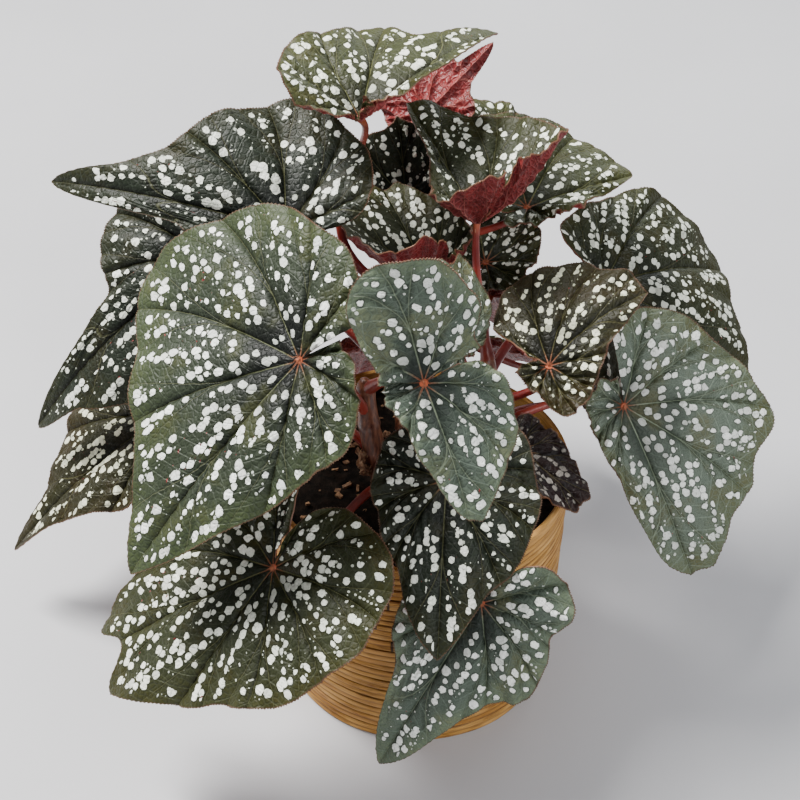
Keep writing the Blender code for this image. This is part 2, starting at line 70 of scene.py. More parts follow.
# Basket, in metres. Its height and rim come from the frame
RIM_RADIUS, _, POT_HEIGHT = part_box("basket")[1]
BASE_RADIUS = 0.084
BASKET_WALL = 0.0032
BASKET_FLOOR = 0.004
BASKET_MIDDLE = 0.02
BASKET_TURNS = 200
RIM_BAND_HEIGHT = 0.008
RIM_ROUND = 0.0006
BAND_LINE_DEPTH = 0.0009
FOOT_TUCK = 0.003
BAND_FOOT = POT_HEIGHT - RIM_BAND_HEIGHT
REED_COUNT = 32
REED_HEIGHT = BAND_FOOT / REED_COUNT
REED_DEPTH = 0.0009
# Steps across one reed: its height as a share of the reed, and how much painted shade darkens the groove
# there
REED_STEPS = ((0.88, 0.35), (0.66, 0.0), (0.5, 0.0), (0.34, 0.0), (0.12, 0.35), (0.0, 1.0))
REED_WOBBLE = 0.00022
REED_LIFT = 0.00025

# Soil and the chips in it
SOIL_RADIUS, _, SOIL_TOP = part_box("soil")[1]
SOIL_RINGS = 40
SOIL_TURNS = 140
SOIL_WAVES = 22
SOIL_WAVE_HEIGHT = 0.00030
SOIL_DROP = 0.0012
SOIL_SKIRT = 0.02
CHIP_COUNT = 150
CHIP_SIZES = (0.0008, 0.0024)
CHIP_SIDES = ((0, 1, 3, 2), (4, 6, 7, 5), (0, 4, 5, 1), (2, 3, 7, 6), (0, 2, 6, 4), (1, 5, 7, 3))

# Leaves, in metres
BLADE_HALF = 0.00035
NOTCH_ANGLE = 2.0
EDGE_LOBES = 9
EDGE_LOBE_DEPTH = 0.022
EDGE_WAVE = 0.002
EDGE_WAVES = 7
TOOTH = 0.0007
TOOTH_SHARES = (0.0, 0.35, 1.0)
ROWS = 30
SMALL_ROWS = 22
SMALL_BLADE = 0.08
EDGE_SPLIT = 4
INNER_SHARES = (0.035, 0.90)
OUTER_SHARES = (0.95, 0.98, 1.0)
VEIN_SWEEP = 9

# Relief of a blade: heights or depths in metres, with half widths for the veins
MAIN_GROOVE = (0.0010, 0.0016)
FORK_GROOVE = (0.0008, 0.0015)
UNDER_RIDGE = (0.0007, 0.0011)
PUCKER_PER_LENGTH = 0.017
LANE_HEIGHT = 0.0006
SIDE_VEIN_HEIGHT = 0.00045
PIMPLE_HEIGHT = 0.00022
RIPPLE_HEIGHT = 0.0011

# Stems
STALK_ROOT_RADIUS = 0.0031
STALK_END_RADIUS = 0.0018
STALK_END_GAP = 0.0006
STALK_REACH = 0.35
STALK_POINTS = 26
STALK_SIDES = 12
CANE_POINTS = 60
CANE_SIDES = 20

# Half of a blade's outline: degrees from the midrib, radius as a share of the midrib
HALF_OUTLINE = (
    (0, 1.0), (6, 0.89), (14, 0.765), (26, 0.665), (45, 0.605), (70, 0.57), (95, 0.55),
    (120, 0.535), (140, 0.51), (156, 0.45), (167, 0.34), (175, 0.19), (180, 0.12),
)
PLAIN_EDGE = ((-180, 1.0), (180, 1.0))

# Main veins: degrees from one to the next, and where the columns of points stand between them
VEIN_STEP = 36
VEIN_SPREAD = math.radians(VEIN_STEP)
COLUMN_STEPS = (0.0, 0.03, 0.075, 0.14, 0.21, 0.28, 0.35, 0.43, 0.5, 0.57, 0.65, 0.72, 0.79, 0.86,
                0.925, 0.97)
SIDE_VEINS_PER_MM = 0.11
SIDE_VEIN_LEAN = 3.0
FORK_START = 0.28
FORK_RISE = 0.06
FORK_OFFSET = 0.35
FORK_INSET = -0.02

# Spots: radius in millimetres and its growth per metre of blade, then the size of the cells and
# the smallest radius as shares of it. Dust is the small spots near the joint, in millimetres
SPOT_RADIUS = 1.65
SPOT_GROWTH = 7.0
SPOT_PITCH = 2.15
SPOT_LEAST = 0.55
SPOT_SCATTER = 0.62
SPOT_SQUASH = 0.80
SPOT_LANES = 3
DUST_PITCH = 2.6
DUST_KEEP = 0.24
DUST_RADII = (0.3, 0.85)


def smooth_curve(x, knots):
    """Smooth curve through the knots, read at x. It never overshoots them."""
    xs, ys = np.array(knots, float).T
    grade = np.diff(ys) / np.diff(xs)
    before = np.append(grade[:1], grade)
    after = np.append(grade, grade[-1:])
    turns = before * after <= 0
    slope = np.where(turns, 0.0, 2 * before * after / np.where(turns, 1.0, before + after))
    x = np.clip(x, xs[0], xs[-1])
    i = np.clip(np.searchsorted(xs, x, side="right") - 1, 0, len(xs) - 2)
    step = xs[i + 1] - xs[i]
    t = (x - xs[i]) / step
    start = (1 + 2 * t) * (1 - t) ** 2 * ys[i] + t * (1 - t) ** 2 * step * slope[i]
    end = t * t * (3 - 2 * t) * ys[i + 1] + t * t * (t - 1) * step * slope[i + 1]
    return start + end


def smoothstep(x, low, high):
    t = np.clip((x - low) / (high - low), 0, 1)
    return t * t * (3 - 2 * t)


def four_way(phi, values):
    """Smooth value round the blade, from its values at the tip, left, back and right."""
    tip, left, back, right = values
    mean = (tip + left + back + right) / 4
    along = (tip - back) / 2 * np.cos(phi)
    across = (left - right) / 2 * np.sin(phi)
    twofold = (tip + back - left - right) / 4 * np.cos(2 * phi)
    return mean + along + across + twofold


@dataclass
class Leaf:
    """One blade. at is the stalk joint and tip the point; the midrib bows by bow degrees.

    up and bend are degrees at the left, back and right: how far the blade rises from its
    joint and how far it curls down again. left, right and back widen the blade. sinus is the
    angle of the notch from the tip, round the left side, and lobe is how far the blade still
    reaches beside it. edge says where the outline is fuller or leaner: degrees from the tip,
    positive on the left, and a factor. green is the place of its colour in LEAF_SLOTS, and it is
    not used here.
    """

    name: str
    at: tuple
    tip: tuple
    roll: float
    stalk: tuple
    left: float = 1.0
    right: float = 1.0
    back: tuple = (1.0, 1.0)
    bow: float = 25
    up: tuple = (6, 6, 6)
    bend: tuple = (30, 30, 30)
    sinus: float = 180
    point: float = 0.0
    lobe: float = 0.12
    edge: tuple = PLAIN_EDGE
    green: int = 0

    def __post_init__(self):
        self.seed = int(self.name.split("_")[1])
        self.at = np.array(self.at) / 1000
        self.tip = np.array(self.tip) / 1000
        half_bow = math.radians(self.bow) / 2
        self.chord = np.linalg.norm(self.tip - self.at)
        self.length = self.chord * half_bow / math.sin(half_bow)

    def axes(self):
        """Unit vectors along the midrib, to the blade's left and out of its upper face."""
        ahead = (self.tip - self.at) / self.chord
        level = np.array([-ahead[1], ahead[0], 0.0]) / math.hypot(ahead[0], ahead[1])
        over = np.cross(ahead, level)
        roll = math.radians(self.roll)
        aside = level * math.cos(roll) + over * math.sin(roll)
        face = over * math.cos(roll) - level * math.sin(roll)
        return ahead, aside, face

    def radius(self, phi):
        """Distance from the joint to the edge. phi is 0 at the tip and positive on the left."""
        degrees = np.degrees(phi)
        on_left = degrees >= 0
        side = np.where(on_left, degrees / self.sinus, -degrees / (360 - self.sinus)) * 180
        reach = np.maximum(smooth_curve(np.minimum(side, 180), HALF_OUTLINE), self.lobe)
        widen = 1 + (np.where(on_left, self.left, self.right) - 1) * smoothstep(side, 0, 70)
        slim = 1 - 0.2 * self.point * smoothstep(side, 0, 9) * (1 - smoothstep(side, 14, 80))
        ear = 1 + (np.where(on_left, self.back[0], self.back[1]) - 1) * smoothstep(side, 80, 140)
        lobes = 1 + EDGE_LOBE_DEPTH * np.cos(EDGE_LOBES * phi) * smoothstep(side, 4, 30)
        return self.length * reach * widen * slim * ear * lobes * smooth_curve(degrees, self.edge)

    def surface(self, phi, share):
        """Points of the blade's middle surface, with the joint at the origin and the tip at +X."""
        phi, share = np.broadcast_arrays(phi, share)
        reach = share * self.radius(phi)
        curl = np.radians(four_way(phi, (self.bow, *self.bend))) * reach / self.length
        slope = np.radians(four_way(phi, (self.bow / 2, *self.up))) - curl / 2
        chord = reach * np.sinc(curl / 2 / np.pi)
        out = chord * np.cos(slope)
        wave = EDGE_WAVE * share ** 2 * np.sin(EDGE_WAVES * phi)
        height = chord * np.sin(slope) + wave
        return np.stack([out * np.cos(phi), out * np.sin(phi), height], axis=-1)


def vein_angle(leaf, vein, share):
    """Angle round the joint of a vein number, which sweeps towards the tip as it runs out."""
    reach = np.where(vein >= 0, leaf.sinus, 360 - leaf.sinus) - NOTCH_ANGLE
    side = np.abs(vein) * VEIN_STEP
    side = side - VEIN_SWEEP * share ** 2 * np.sin(np.pi * side / reach)
    return np.sign(vein) * np.radians(side)


# The canes: points of their centre lines above the soil, in millimetres
CANES = {
    "a": ((-14, -20, 142), (-20, -26, 165), (-27, -26, 200), (-30, -20, 232)),
    "b": ((22, -4, 142), (28, -4, 160), (36, 2, 195), (40, 10, 225)),
    "c": ((-4, 28, 142), (-8, 45, 165), (-12, 62, 200), (-14, 75, 228)),
}
CANE_FOOT_HEIGHT = 105
CANE_RADII = (0.0085, 0.0085, 0.0075, 0.0065, 0.0050)

# The blades, in millimetres and degrees. A stalk is its cane, the height of its root, how
# steeply it leaves the cane, and for some the two points that steer its curve
FLAT = {"bow": 20, "up": (10, 10, 10), "bend": (0, 0, 0)}
HANGING = {"bow": 30, "bend": (40, 30, 40)}
LEAVES = (
    Leaf("leaf_01", (-62, -64, 280), (-155, -107, 166), -15, ("a", 210, 0.8), left=0.78, right=1.2,
         bow=20, up=(5, 5, 0), bend=(60, 35, 12), sinus=155, lobe=0.4, edge=((-205, 0.6), (-165, 0.64),
         (-120, 0.89), (-100, 1.05), (-68, 1.18), (-45, 1), (20, 0.98), (45, 0.88), (62, 0.89),
         (90, 0.73), (120, 0.6), (155, 0.55)), green=1),
    Leaf("leaf_02", (-73, 32, 294), (-212, 90, 289), -38, ("c", 200, 0.8), left=0.6, right=0.92,
         back=(1, 0.8), bow=40, up=(-25, 0, 0), bend=(65, 15, 25), sinus=190, point=0.9,
         edge=((-180, 1), (0, 1), (12, 0.6), (60, 0.6), (190, 0.9)), green=1),
    Leaf("leaf_03", (-127, 93, 235), (-240, 69, 120), -38, ("c", 165, 0.8), left=0.9, right=0.87, bow=40,
         up=(5, 10, 10), bend=(30, 20, 50), point=1, edge=((-180, 0.7), (-130, 0.5), (-100, 0.65),
         (-60, 0.88), (-20, 0.75), (0, 1), (15, 1.15), (180, 1)), green=2),
    Leaf("leaf_04", (-156, 57, 140), (-260, 39, 40), -10, ("a", 150, 1.5), left=0.6, right=0.8,
         up=(5, 5, 10), bend=(60, 30, 50), point=0.8, edge=((-180, 1), (-30, 1.16), (0, 1), (180, 1)),
         green=2),
    Leaf("leaf_05", (-79, -99, 165), (-181, -90, 85), -28, ("a", 145, 1.2), left=0.87, right=0.95,
         back=(1.1, 1.1), up=(5, 0, 5), bend=(30, 20, 30), sinus=225, point=-1.3, edge=((-135, 1),
         (-60, 0.95), (-32, 0.8), (-15, 1), (3, 0.85), (12, 0.95), (45, 0.88), (62, 1), (105, 1.14),
         (150, 1.18), (200, 0.92), (225, 1)), green=2),
    Leaf("leaf_06", (14, -86, 217), (9, -150, 147), 0, ("a", 165, 0.8), right=0.84, up=(5, 5, 5),
         bend=(30, 20, 30), edge=((-180, 0.9), (-30, 0.87), (-12, 1), (60, 0.98), (90, 0.91),
         (180, 0.95)), green=2),
    Leaf("leaf_07", (33, -116, 155), (-23, -133, 40), -50, ("b", 150, 1.2), left=0.72, right=0.75, bow=15,
         up=(5, 5, 5), bend=(30, 20, 30), edge=((-180, 1), (-45, 0.76), (-18, 0.76), (0, 1), (15, 0.88),
         (32, 0.84), (58, 1.06), (75, 0.92), (95, 0.82), (125, 1.04), (180, 1.1)), green=2),
    Leaf("leaf_08", (1, -125, 315), (23, -158, 257), 5, ("a", 225, 0.8, (0, -40, 262), (10, -102, 304)),
         left=1.1, right=0.7, back=(0.9, 2.6), bow=20, up=(0, 10, -50), bend=(20, -10, 90), sinus=100,
         point=-0.6, lobe=0.3, edge=((-260, 0.9), (-210, 0.86), (-165, 1.1), (-148, 1.05), (-128, 0.8),
         (-95, 1), (-60, 0.68), (-40, 0.5), (-15, 0.62), (0, 1), (15, 1.15), (60, 1.2), (100, 1)),
         green=1),
    Leaf("leaf_09", (69, -37, 255), (122, -12, 285), 0, ("b", 190, 0.8), left=1.1, right=0.7, bow=45,
         up=(20, 10, -10), bend=(20, 20, 40), sinus=120, edge=((-240, 1), (-165, 0.65), (-135, 0.78),
         (-100, 1.2), (-60, 0.87), (-20, 0.76), (0, 1), (14, 1.4), (45, 1.45), (120, 1.2)), green=2),
    Leaf("leaf_10", (119, 6, 190), (164, -33, 90), 30, ("b", 165, 0.8), left=1.3, right=0.65,
         up=(5, 0, 5), bend=(20, 20, 50), sinus=170, point=-0.6, lobe=0.35, edge=((-190, 0.7),
         (-135, 0.56), (-35, 0.53), (-14, 0.74), (0, 1), (30, 1.03), (45, 0.96), (60, 1.08), (75, 0.92),
         (120, 0.77), (170, 0.95)), green=0),
    Leaf("leaf_11", (113, 88, 217), (215, 109, 132), 30, ("b", 205, 0.8), left=0.95, right=0.9,
         up=(5, 5, 5), bend=(25, 20, 30), edge=((-180, 1), (0, 1), (14, 1.15), (35, 1.45), (60, 1.4),
         (90, 0.9), (130, 0.7), (180, 0.9)), green=2),
    Leaf("leaf_12", (63, 77, 280), (129, 125, 270), 25, ("c", 224, 0.8, (-12, 80, 262), (47, 67, 262)),
         left=1.3, right=0.8, up=(5, 5, 45), bend=(10, 20, 10), edge=((-180, 1), (-45, 0.62), (-15, 0.72),
         (0, 1), (14, 1.25), (32, 1.35), (70, 1.1), (180, 1)), green=0),
    Leaf("leaf_13", (32, 33, 300), (-6, 117, 326), 10, ("b", 222, 0.8), left=0.7, right=1.2,
         back=(1.2, 1.2), bow=10, up=(30, 65, 40), bend=(-30, -60, -60), point=-0.6, edge=((-180, 0.9),
         (-150, 0.77), (-120, 0.81), (-95, 1.08), (-60, 1.05), (-40, 0.94), (0, 1), (8, 0.6), (35, 0.56),
         (75, 0.93), (105, 1.1), (140, 1.4), (180, 1.4)), green=1),
    Leaf("leaf_14", (-32, 66, 345), (47, 157, 350), 30, ("c", 222, 0.8, (-83, 80, 263), (-16, 123, 299)),
         left=0.85, right=0.35, bow=60, up=(0, 40, 105), bend=(20, 10, 0), edge=((-180, 0.8), (-60, 0.5),
         (-25, 0.35), (-3, 0.8), (0, 1), (12, 0.85), (30, 1.1), (90, 1), (150, 0.65)), green=0),
    Leaf("leaf_15", (6, 173, 285), (47, 195, 322), 205, ("c", 224, 0.8, (-10, 120, 230), None), bow=10,
         up=(-5, -5, -5), bend=(0, 0, 0), edge=((-180, 0.85), (-100, 0.95), (-32, 1.15), (-12, 0.8),
         (0, 1), (12, 0.7), (45, 0.85), (180, 0.8)), green=1),
    Leaf("leaf_16", (52, 163, 263), (16, 210, 282), 0, ("c", 220, 0.8), bow=20, up=(10, 10, 10),
         bend=(0, 0, 0), green=1),
    Leaf("leaf_17", (-7, 112, 262), (-12, 128, 315), 0, ("c", 190, 0.8, (-12, 100, 200), None), left=1.1,
         right=1.1, bow=20, up=(10, 10, 30), bend=(0, 0, 0), edge=((-180, 1), (-28, 1.25), (0, 0.92),
         (28, 1.25), (180, 1)), green=2),
    Leaf("leaf_18", (6, 48, 250), (-20, 105, 275), 0, ("c", 180, 0.8), left=1.5, back=(1.3, 1), bow=20,
         up=(25, 65, 40), bend=(-60, -30, -60), point=-1, green=2),
    Leaf("leaf_19", (24, -13, 248), (17, 6, 291), 0, ("b", 200, 0.8), left=0.85, right=0.8,
         back=(0.8, 1), **FLAT, point=-1.5, edge=((-180, 0.3), (-110, 0.4), (-50, 0.85), (0, 1),
         (180, 1)), green=0),
    Leaf("leaf_20", (40, 75, 243), (58, 109, 258), 0, ("b", 210, 0.8), left=0.9, right=1.3, **FLAT,
         point=-1.5, green=2),
    Leaf("leaf_21", (58, -23, 182), (92, -50, 165), 0, ("b", 150, 0.8), left=0.9, right=0.9, **FLAT,
         point=-1, green=3),
    Leaf("leaf_22", (-55, 130, 172), (-105, 210, 100), 0, ("c", 175, 0.8), bow=30, bend=(40, 30, 40),
         green=1),
    Leaf("leaf_23", (48, 134, 176), (62, 209, 88), 0, ("c", 190, 0.8), left=0.7, right=0.9,
         back=(0.4, 0.9), **HANGING, green=2),
    Leaf("leaf_24", (79, 104, 148), (110, 172, 62), 0, ("c", 185, 1.3), left=0.85, right=0.65,
         back=(0.6, 0.6), **HANGING, green=1),
    Leaf("leaf_25", (-22, 112, 154), (-42, 182, 64), 0, ("c", 165, 1.4), left=0.75, right=0.8,
         back=(0.45, 0.7), **HANGING, green=2),
    Leaf("leaf_26", (112, 55, 165), (185, 90, 115), 0, ("b", 155, 1.4), bow=30, bend=(40, 30, 40),
         green=1),
)

# Papery scales beside the canes
SCALES = tuple(
    Leaf(name, at, tip, 0, None, left=0.6, right=0.6, bow=30, up=(0, 0, 0), bend=(0, 0, 0), point=-0.5)
    for name, at, tip in (
        ("stipule_1", (-15.2, -23.0, 183), (-17.8, -24.0, 197)),
        ("stipule_2", (-30.5, -29.1, 175), (-33.1, -30.1, 189)),
        ("stipule_3", (23.0, 0.5, 178), (25.7, 0.0, 192)),
    )
)

# Tone and share of the cells that hold a spot, for each blade from leaf_01 to leaf_26. The sage, pale
# and slate tones carry painted sheen: a lighter, bluer green for sky reflected off blades facing the light
LOOKS = (
    ("mid", 0.58), ("dark", 0.52), ("dark", 0.5), ("olive", 0.72), ("slate_sheen", 0.92), ("dark", 0.74),
    ("sage_sheen", 0.8), ("sage_sheen", 0.72), ("olive", 0.44), ("pale_sheen", 0.84), ("slate_sheen", 0.78), ("light", 0.74),
    ("slate_sheen", 0.62), ("light", 0.7), ("mid", 0.5), ("light", 0.7), ("dark", 0.5), ("slate_sheen", 0.8),
    ("pale_sheen", 0.7), ("slate_sheen", 0.7), ("maroon", 0.5), ("mid", 0.6), ("slate_sheen", 0.6), ("mid", 0.6),
    ("olive", 0.6), ("slate_sheen", 0.6),
)

# Blade colours in thousandths: near the joint, between the veins, beside the veins (painted shade
# in the grooves along them), at the edge, and the spots. The sage, pale and slate tones are painted
# sheen, lighter and bluer than the blades' own green
TONES = {
    "mid": ((2, 3, 2), (21, 28, 16), (9, 13, 7), (45, 60, 23), (900, 920, 860)),
    "dark": ((2, 3, 2), (10, 14, 8), (5, 6, 3), (18, 19, 6), (760, 780, 690)),
    "slate_sheen": ((6, 8, 3), (22, 26, 11), (10, 12, 3), (31, 31, 7), (860, 880, 760)),
    "olive": ((5, 5, 2), (14, 14, 4), (8, 8, 2), (24, 18, 5), (740, 740, 560)),
    "sage_sheen": ((12, 17, 13), (64, 84, 64), (36, 49, 34), (119, 152, 90), (900, 920, 860)),
    "pale_sheen": ((42, 54, 42), (110, 138, 106), (66, 81, 54), (100, 114, 56), (920, 940, 880)),
    "light": ((12, 13, 5), (30, 35, 12), (18, 20, 6), (45, 48, 13), (880, 900, 760)),
    "maroon": ((2, 1, 1), (6, 2, 2), (3, 2, 2), (13, 4, 2), (200, 180, 160)),
}
OLIVE_SHIFT = (0.95, 0.78, 0.62)
# SPOT_GREY greys the spots: painted shade on their rims, and grey patches at random inside them
SPOT_GREY = (0.36, 0.40, 0.34)
VEIN_GREEN = (0.050, 0.046, 0.020)
VEIN_RED = (0.20, 0.066, 0.034)
JOINT_RED = (0.30, 0.10, 0.05)
EDGE_BROWN = (0.085, 0.045, 0.026)


def reckon(operation, swapped=False):
    """A method of Number that makes a Math node for the operation."""
    def method(self, *others):
        values = (*others, self) if swapped else (self, *others)
        return self.graph.math(operation, *values)
    return method


@dataclass
class Number:
    """A number that a node gives, to reckon with as with a plain one."""

    graph: object
    socket: object
    __add__ = reckon("ADD")
    __sub__ = reckon("SUBTRACT")
    __rsub__ = reckon("SUBTRACT", True)
    __mul__ = reckon("MULTIPLY")
    __truediv__ = reckon("DIVIDE")
    most = reckon("MAXIMUM")
    least = reckon("MINIMUM")
    size = reckon("ABSOLUTE")
    floor = reckon("FLOOR")
    rest = reckon("FRACT")
    rounded = reckon("ROUND")
    root = reckon("SQRT")
    cosine = reckon("COSINE")

    def off_whole(self):
        """Distance to the nearest whole number."""
        return (self - self.rounded()).size()

    def step(self, low, high, out_low=0.0, out_high=1.0):
        """Smooth step, from out_low at low to out_high at high."""
        made = self.graph.node("ShaderNodeMapRange", {
            "Value": self, "From Min": low, "From Max": high, "To Min": out_low, "To Max": out_high,
        }, interpolation_type="SMOOTHSTEP")
        return Number(self.graph, made.outputs[0])


class Graph:
    """Short calls for building one material's nodes."""

    def __init__(self, name):
        self.material = bpy.data.materials.new(name)
        self.material.use_nodes = True
        self.tree = self.material.node_tree
        self.shader = self.tree.nodes["Principled BSDF"].inputs

    def feed(self, socket, value):
        if isinstance(value, Number):
            value = value.socket
        if isinstance(value, bpy.types.NodeSocket):
            self.tree.links.new(value, socket)
        elif isinstance(value, tuple) and socket.type == "RGBA":
            socket.default_value = (*value, 1.0)
        else:
            socket.default_value = value

    def node(self, kind, inputs=None, **settings):
        made = self.tree.nodes.new(kind)
        for key, value in settings.items():
            setattr(made, key, value)
        for key, value in (inputs or {}).items():
            self.feed(made.inputs[key], value)
        return made

    def math(self, operation, *values):
        made = self.node("ShaderNodeMath", dict(enumerate(values)), operation=operation)
        return Number(self, made.outputs[0])

    def vector(self, operation, *values):
        made = self.node("ShaderNodeVectorMath", dict(enumerate(values)), operation=operation)
        return made.outputs[0]

    def length(self, vector):
        made = self.node("ShaderNodeVectorMath", {0: vector}, operation="LENGTH")
        return Number(self, made.outputs["Value"])

    def point(self, x, y, z=0.0):
        return self.node("ShaderNodeCombineXYZ", {0: x, 1: y, 2: z}).outputs[0]

    def parts(self, vector):
        return [Number(self, part) for part in self.node("ShaderNodeSeparateXYZ", {0: vector}).outputs]

    def place(self):
        return self.node("ShaderNodeTexCoord").outputs["Object"]

    def attribute(self, name):
        return self.node("ShaderNodeAttribute", attribute_name=name).outputs

    def fraction(self, name):
        return Number(self, self.attribute(name)["Fac"])

    def luck(self, number):
        """A random number from 0 to 1 that stays the same for the same number."""
        made = self.node("ShaderNodeTexWhiteNoise", {"W": number}, noise_dimensions="1D")
        return Number(self, made.outputs["Value"])

    def noise(self, vector, scale, detail=3.0, roughness=0.55):
        inputs = {"Vector": vector, "Scale": scale, "Detail": detail, "Roughness": roughness}
        return Number(self, self.node("ShaderNodeTexNoise", inputs).outputs["Fac"])

    def streaks(self, across, upright, roughness=0.55):
        """Noise drawn out along the height."""
        inputs = {"Vector": self.place(), "Scale": (across, across, upright)}
        return self.noise(self.node("ShaderNodeMapping", inputs).outputs[0], 1.0, 3.0, roughness)

    def pebbles(self, place, scale):
        """Height of small pebbled cells, and a mask of the net between them."""
        inputs = {"Vector": place, "Scale": scale, "Randomness": 0.9}
        cells = self.node("ShaderNodeTexVoronoi", inputs, voronoi_dimensions="2D",
                          feature="DISTANCE_TO_EDGE")
        distance = Number(self, cells.outputs["Distance"])
        return distance.step(0.0, 0.28), distance.step(0.10, 0.03)

    def mix(self, factor, first, second, blend="MIX"):
        inputs = {0: factor, 6: first, 7: second}
        return self.node("ShaderNodeMix", inputs, data_type="RGBA", blend_type=blend).outputs[2]

    def paint(self, colour, *layers):
        """Lays colours over the first one, each by its mask."""
        for mask, over in layers:
            colour = self.mix(mask, colour, over)
        return colour

    def shade(self, colour, factor):
        """Colour times a factor."""
        grey = self.node("ShaderNodeCombineColor", {0: factor, 1: factor, 2: factor})
        return self.mix(1.0, colour, grey.outputs[0], "MULTIPLY")

    def finish(self, colour, roughness, height=None, depth=0.0, specular=None):
        """Sets the shader. A height of 1 is a bump of the given depth in metres."""
        self.feed(self.shader["Base Color"], colour)
        self.feed(self.shader["Roughness"], roughness)
        if height is not None:
            bump = self.node("ShaderNodeBump", {"Height": height, "Distance": depth})
            self.feed(self.shader["Normal"], bump.outputs[0])
        if specular is not None:
            self.feed(self.shader["Specular IOR Level"], specular)
        return self.material


def tint(colour, factor, more=0.0):
    """Colour times a factor, or one factor for each channel, with some more light."""
    return tuple(float(c) for c in np.multiply(colour, factor) + more)


def fork_gap(offset, share):
    """How far a place is from its fork, in vein intervals, and far away before the fork starts."""
    gap = (offset - share.step(FORK_START, 1.1, FORK_INSET, FORK_OFFSET)).size()
    return gap + share.step(FORK_START + FORK_RISE, FORK_START)


def blade_ways(graph):
    """Where a place lies on its blade, and masks of the veins. Lengths are in millimetres."""
    vein = graph.fraction("vein")
    share = graph.fraction("share")
    place = graph.attribute("flat")["Vector"]
    reach = graph.length(place) * 1000.0
    ray = reach / share.most(0.02)
    spacing = reach * VEIN_SPREAD
    offset = vein.off_whole()
    to_main = offset * spacing
    to_fork = fork_gap(offset, share) * spacing
    side_line = reach * SIDE_VEINS_PER_MM - offset * SIDE_VEIN_LEAN
    return SimpleNamespace(
        vein=vein, share=share, place=place, reach=reach, ray=ray, spacing=spacing,
        to_edge=ray * (1.0 - share),
        clear=to_main.least(to_fork),
        main=(to_main / share.step(0.0, 0.9, 0.46, 0.22)).step(1.25, 0.6),
        fork=to_fork.step(0.36, 0.12),
        side=side_line.off_whole().step(0.08, 0.02),
    )


def turn_of(graph, place):
    """Angle of a flat place round the joint, in vein numbers."""
    x, y, _ = graph.parts(place)
    return graph.math("ARCTAN2", y, x) / VEIN_SPREAD


def spot_layer(graph, ways, pitch, keep, small, large, wobble, seed):
    """Pale spots between the veins, at most one in a cell. Gives millimetres inside and luck."""
    shift = (3.3 * seed, 7.7 * seed, 0.0)
    scaled = graph.vector("MULTIPLY", ways.place, (1000 / pitch,) * 3)
    inputs = {"Vector": graph.vector("ADD", scaled, shift), "Scale": 1.0, "Randomness": SPOT_SCATTER}
    cells = graph.node("ShaderNodeTexVoronoi", inputs, voronoi_dimensions="2D").outputs
    colour = graph.node("ShaderNodeSeparateColor", {"Color": cells["Color"]}).outputs
    chance, size, luck = (Number(graph, part) for part in colour)

    centre = graph.vector("SUBTRACT", cells["Position"], shift)
    reach = graph.length(centre) * pitch
    turned = turn_of(graph, centre) - turn_of(graph, ways.place)
    vein = ways.vein + turned
    share = reach / ways.ray
    offset = vein.off_whole()
    clear = offset.least(fork_gap(offset, share)) * (reach * VEIN_SPREAD)

    chain = graph.noise(graph.point(vein * 7.0, reach * 0.045), 1.0, 1.0).step(0.42, 0.56, 0.50, 1.50)
    beat = (offset * (math.tau * SPOT_LANES) - math.pi).cosine()
    lane = beat.step(-0.7, 0.5, 0.30, 1.20).most(reach.step(40.0, 22.0))
    shown = (chain * lane * keep - chance).step(-0.01, 0.01) * clear.step(0.45 * large, 0.75 * large)
    shown = shown * share.step(0.10, 0.14) * share.step(0.98, 0.94)

    radius = size.step(0.0, 1.0, small, large) * clear.step(0.5, 3.0, 0.42, 1.0)
    across = turned * ways.spacing
    along = (reach - ways.reach) * SPOT_SQUASH
    distance = (across * across + along * along).root() + wobble
    return radius - distance - (1.0 - shown) * 9.0, luck


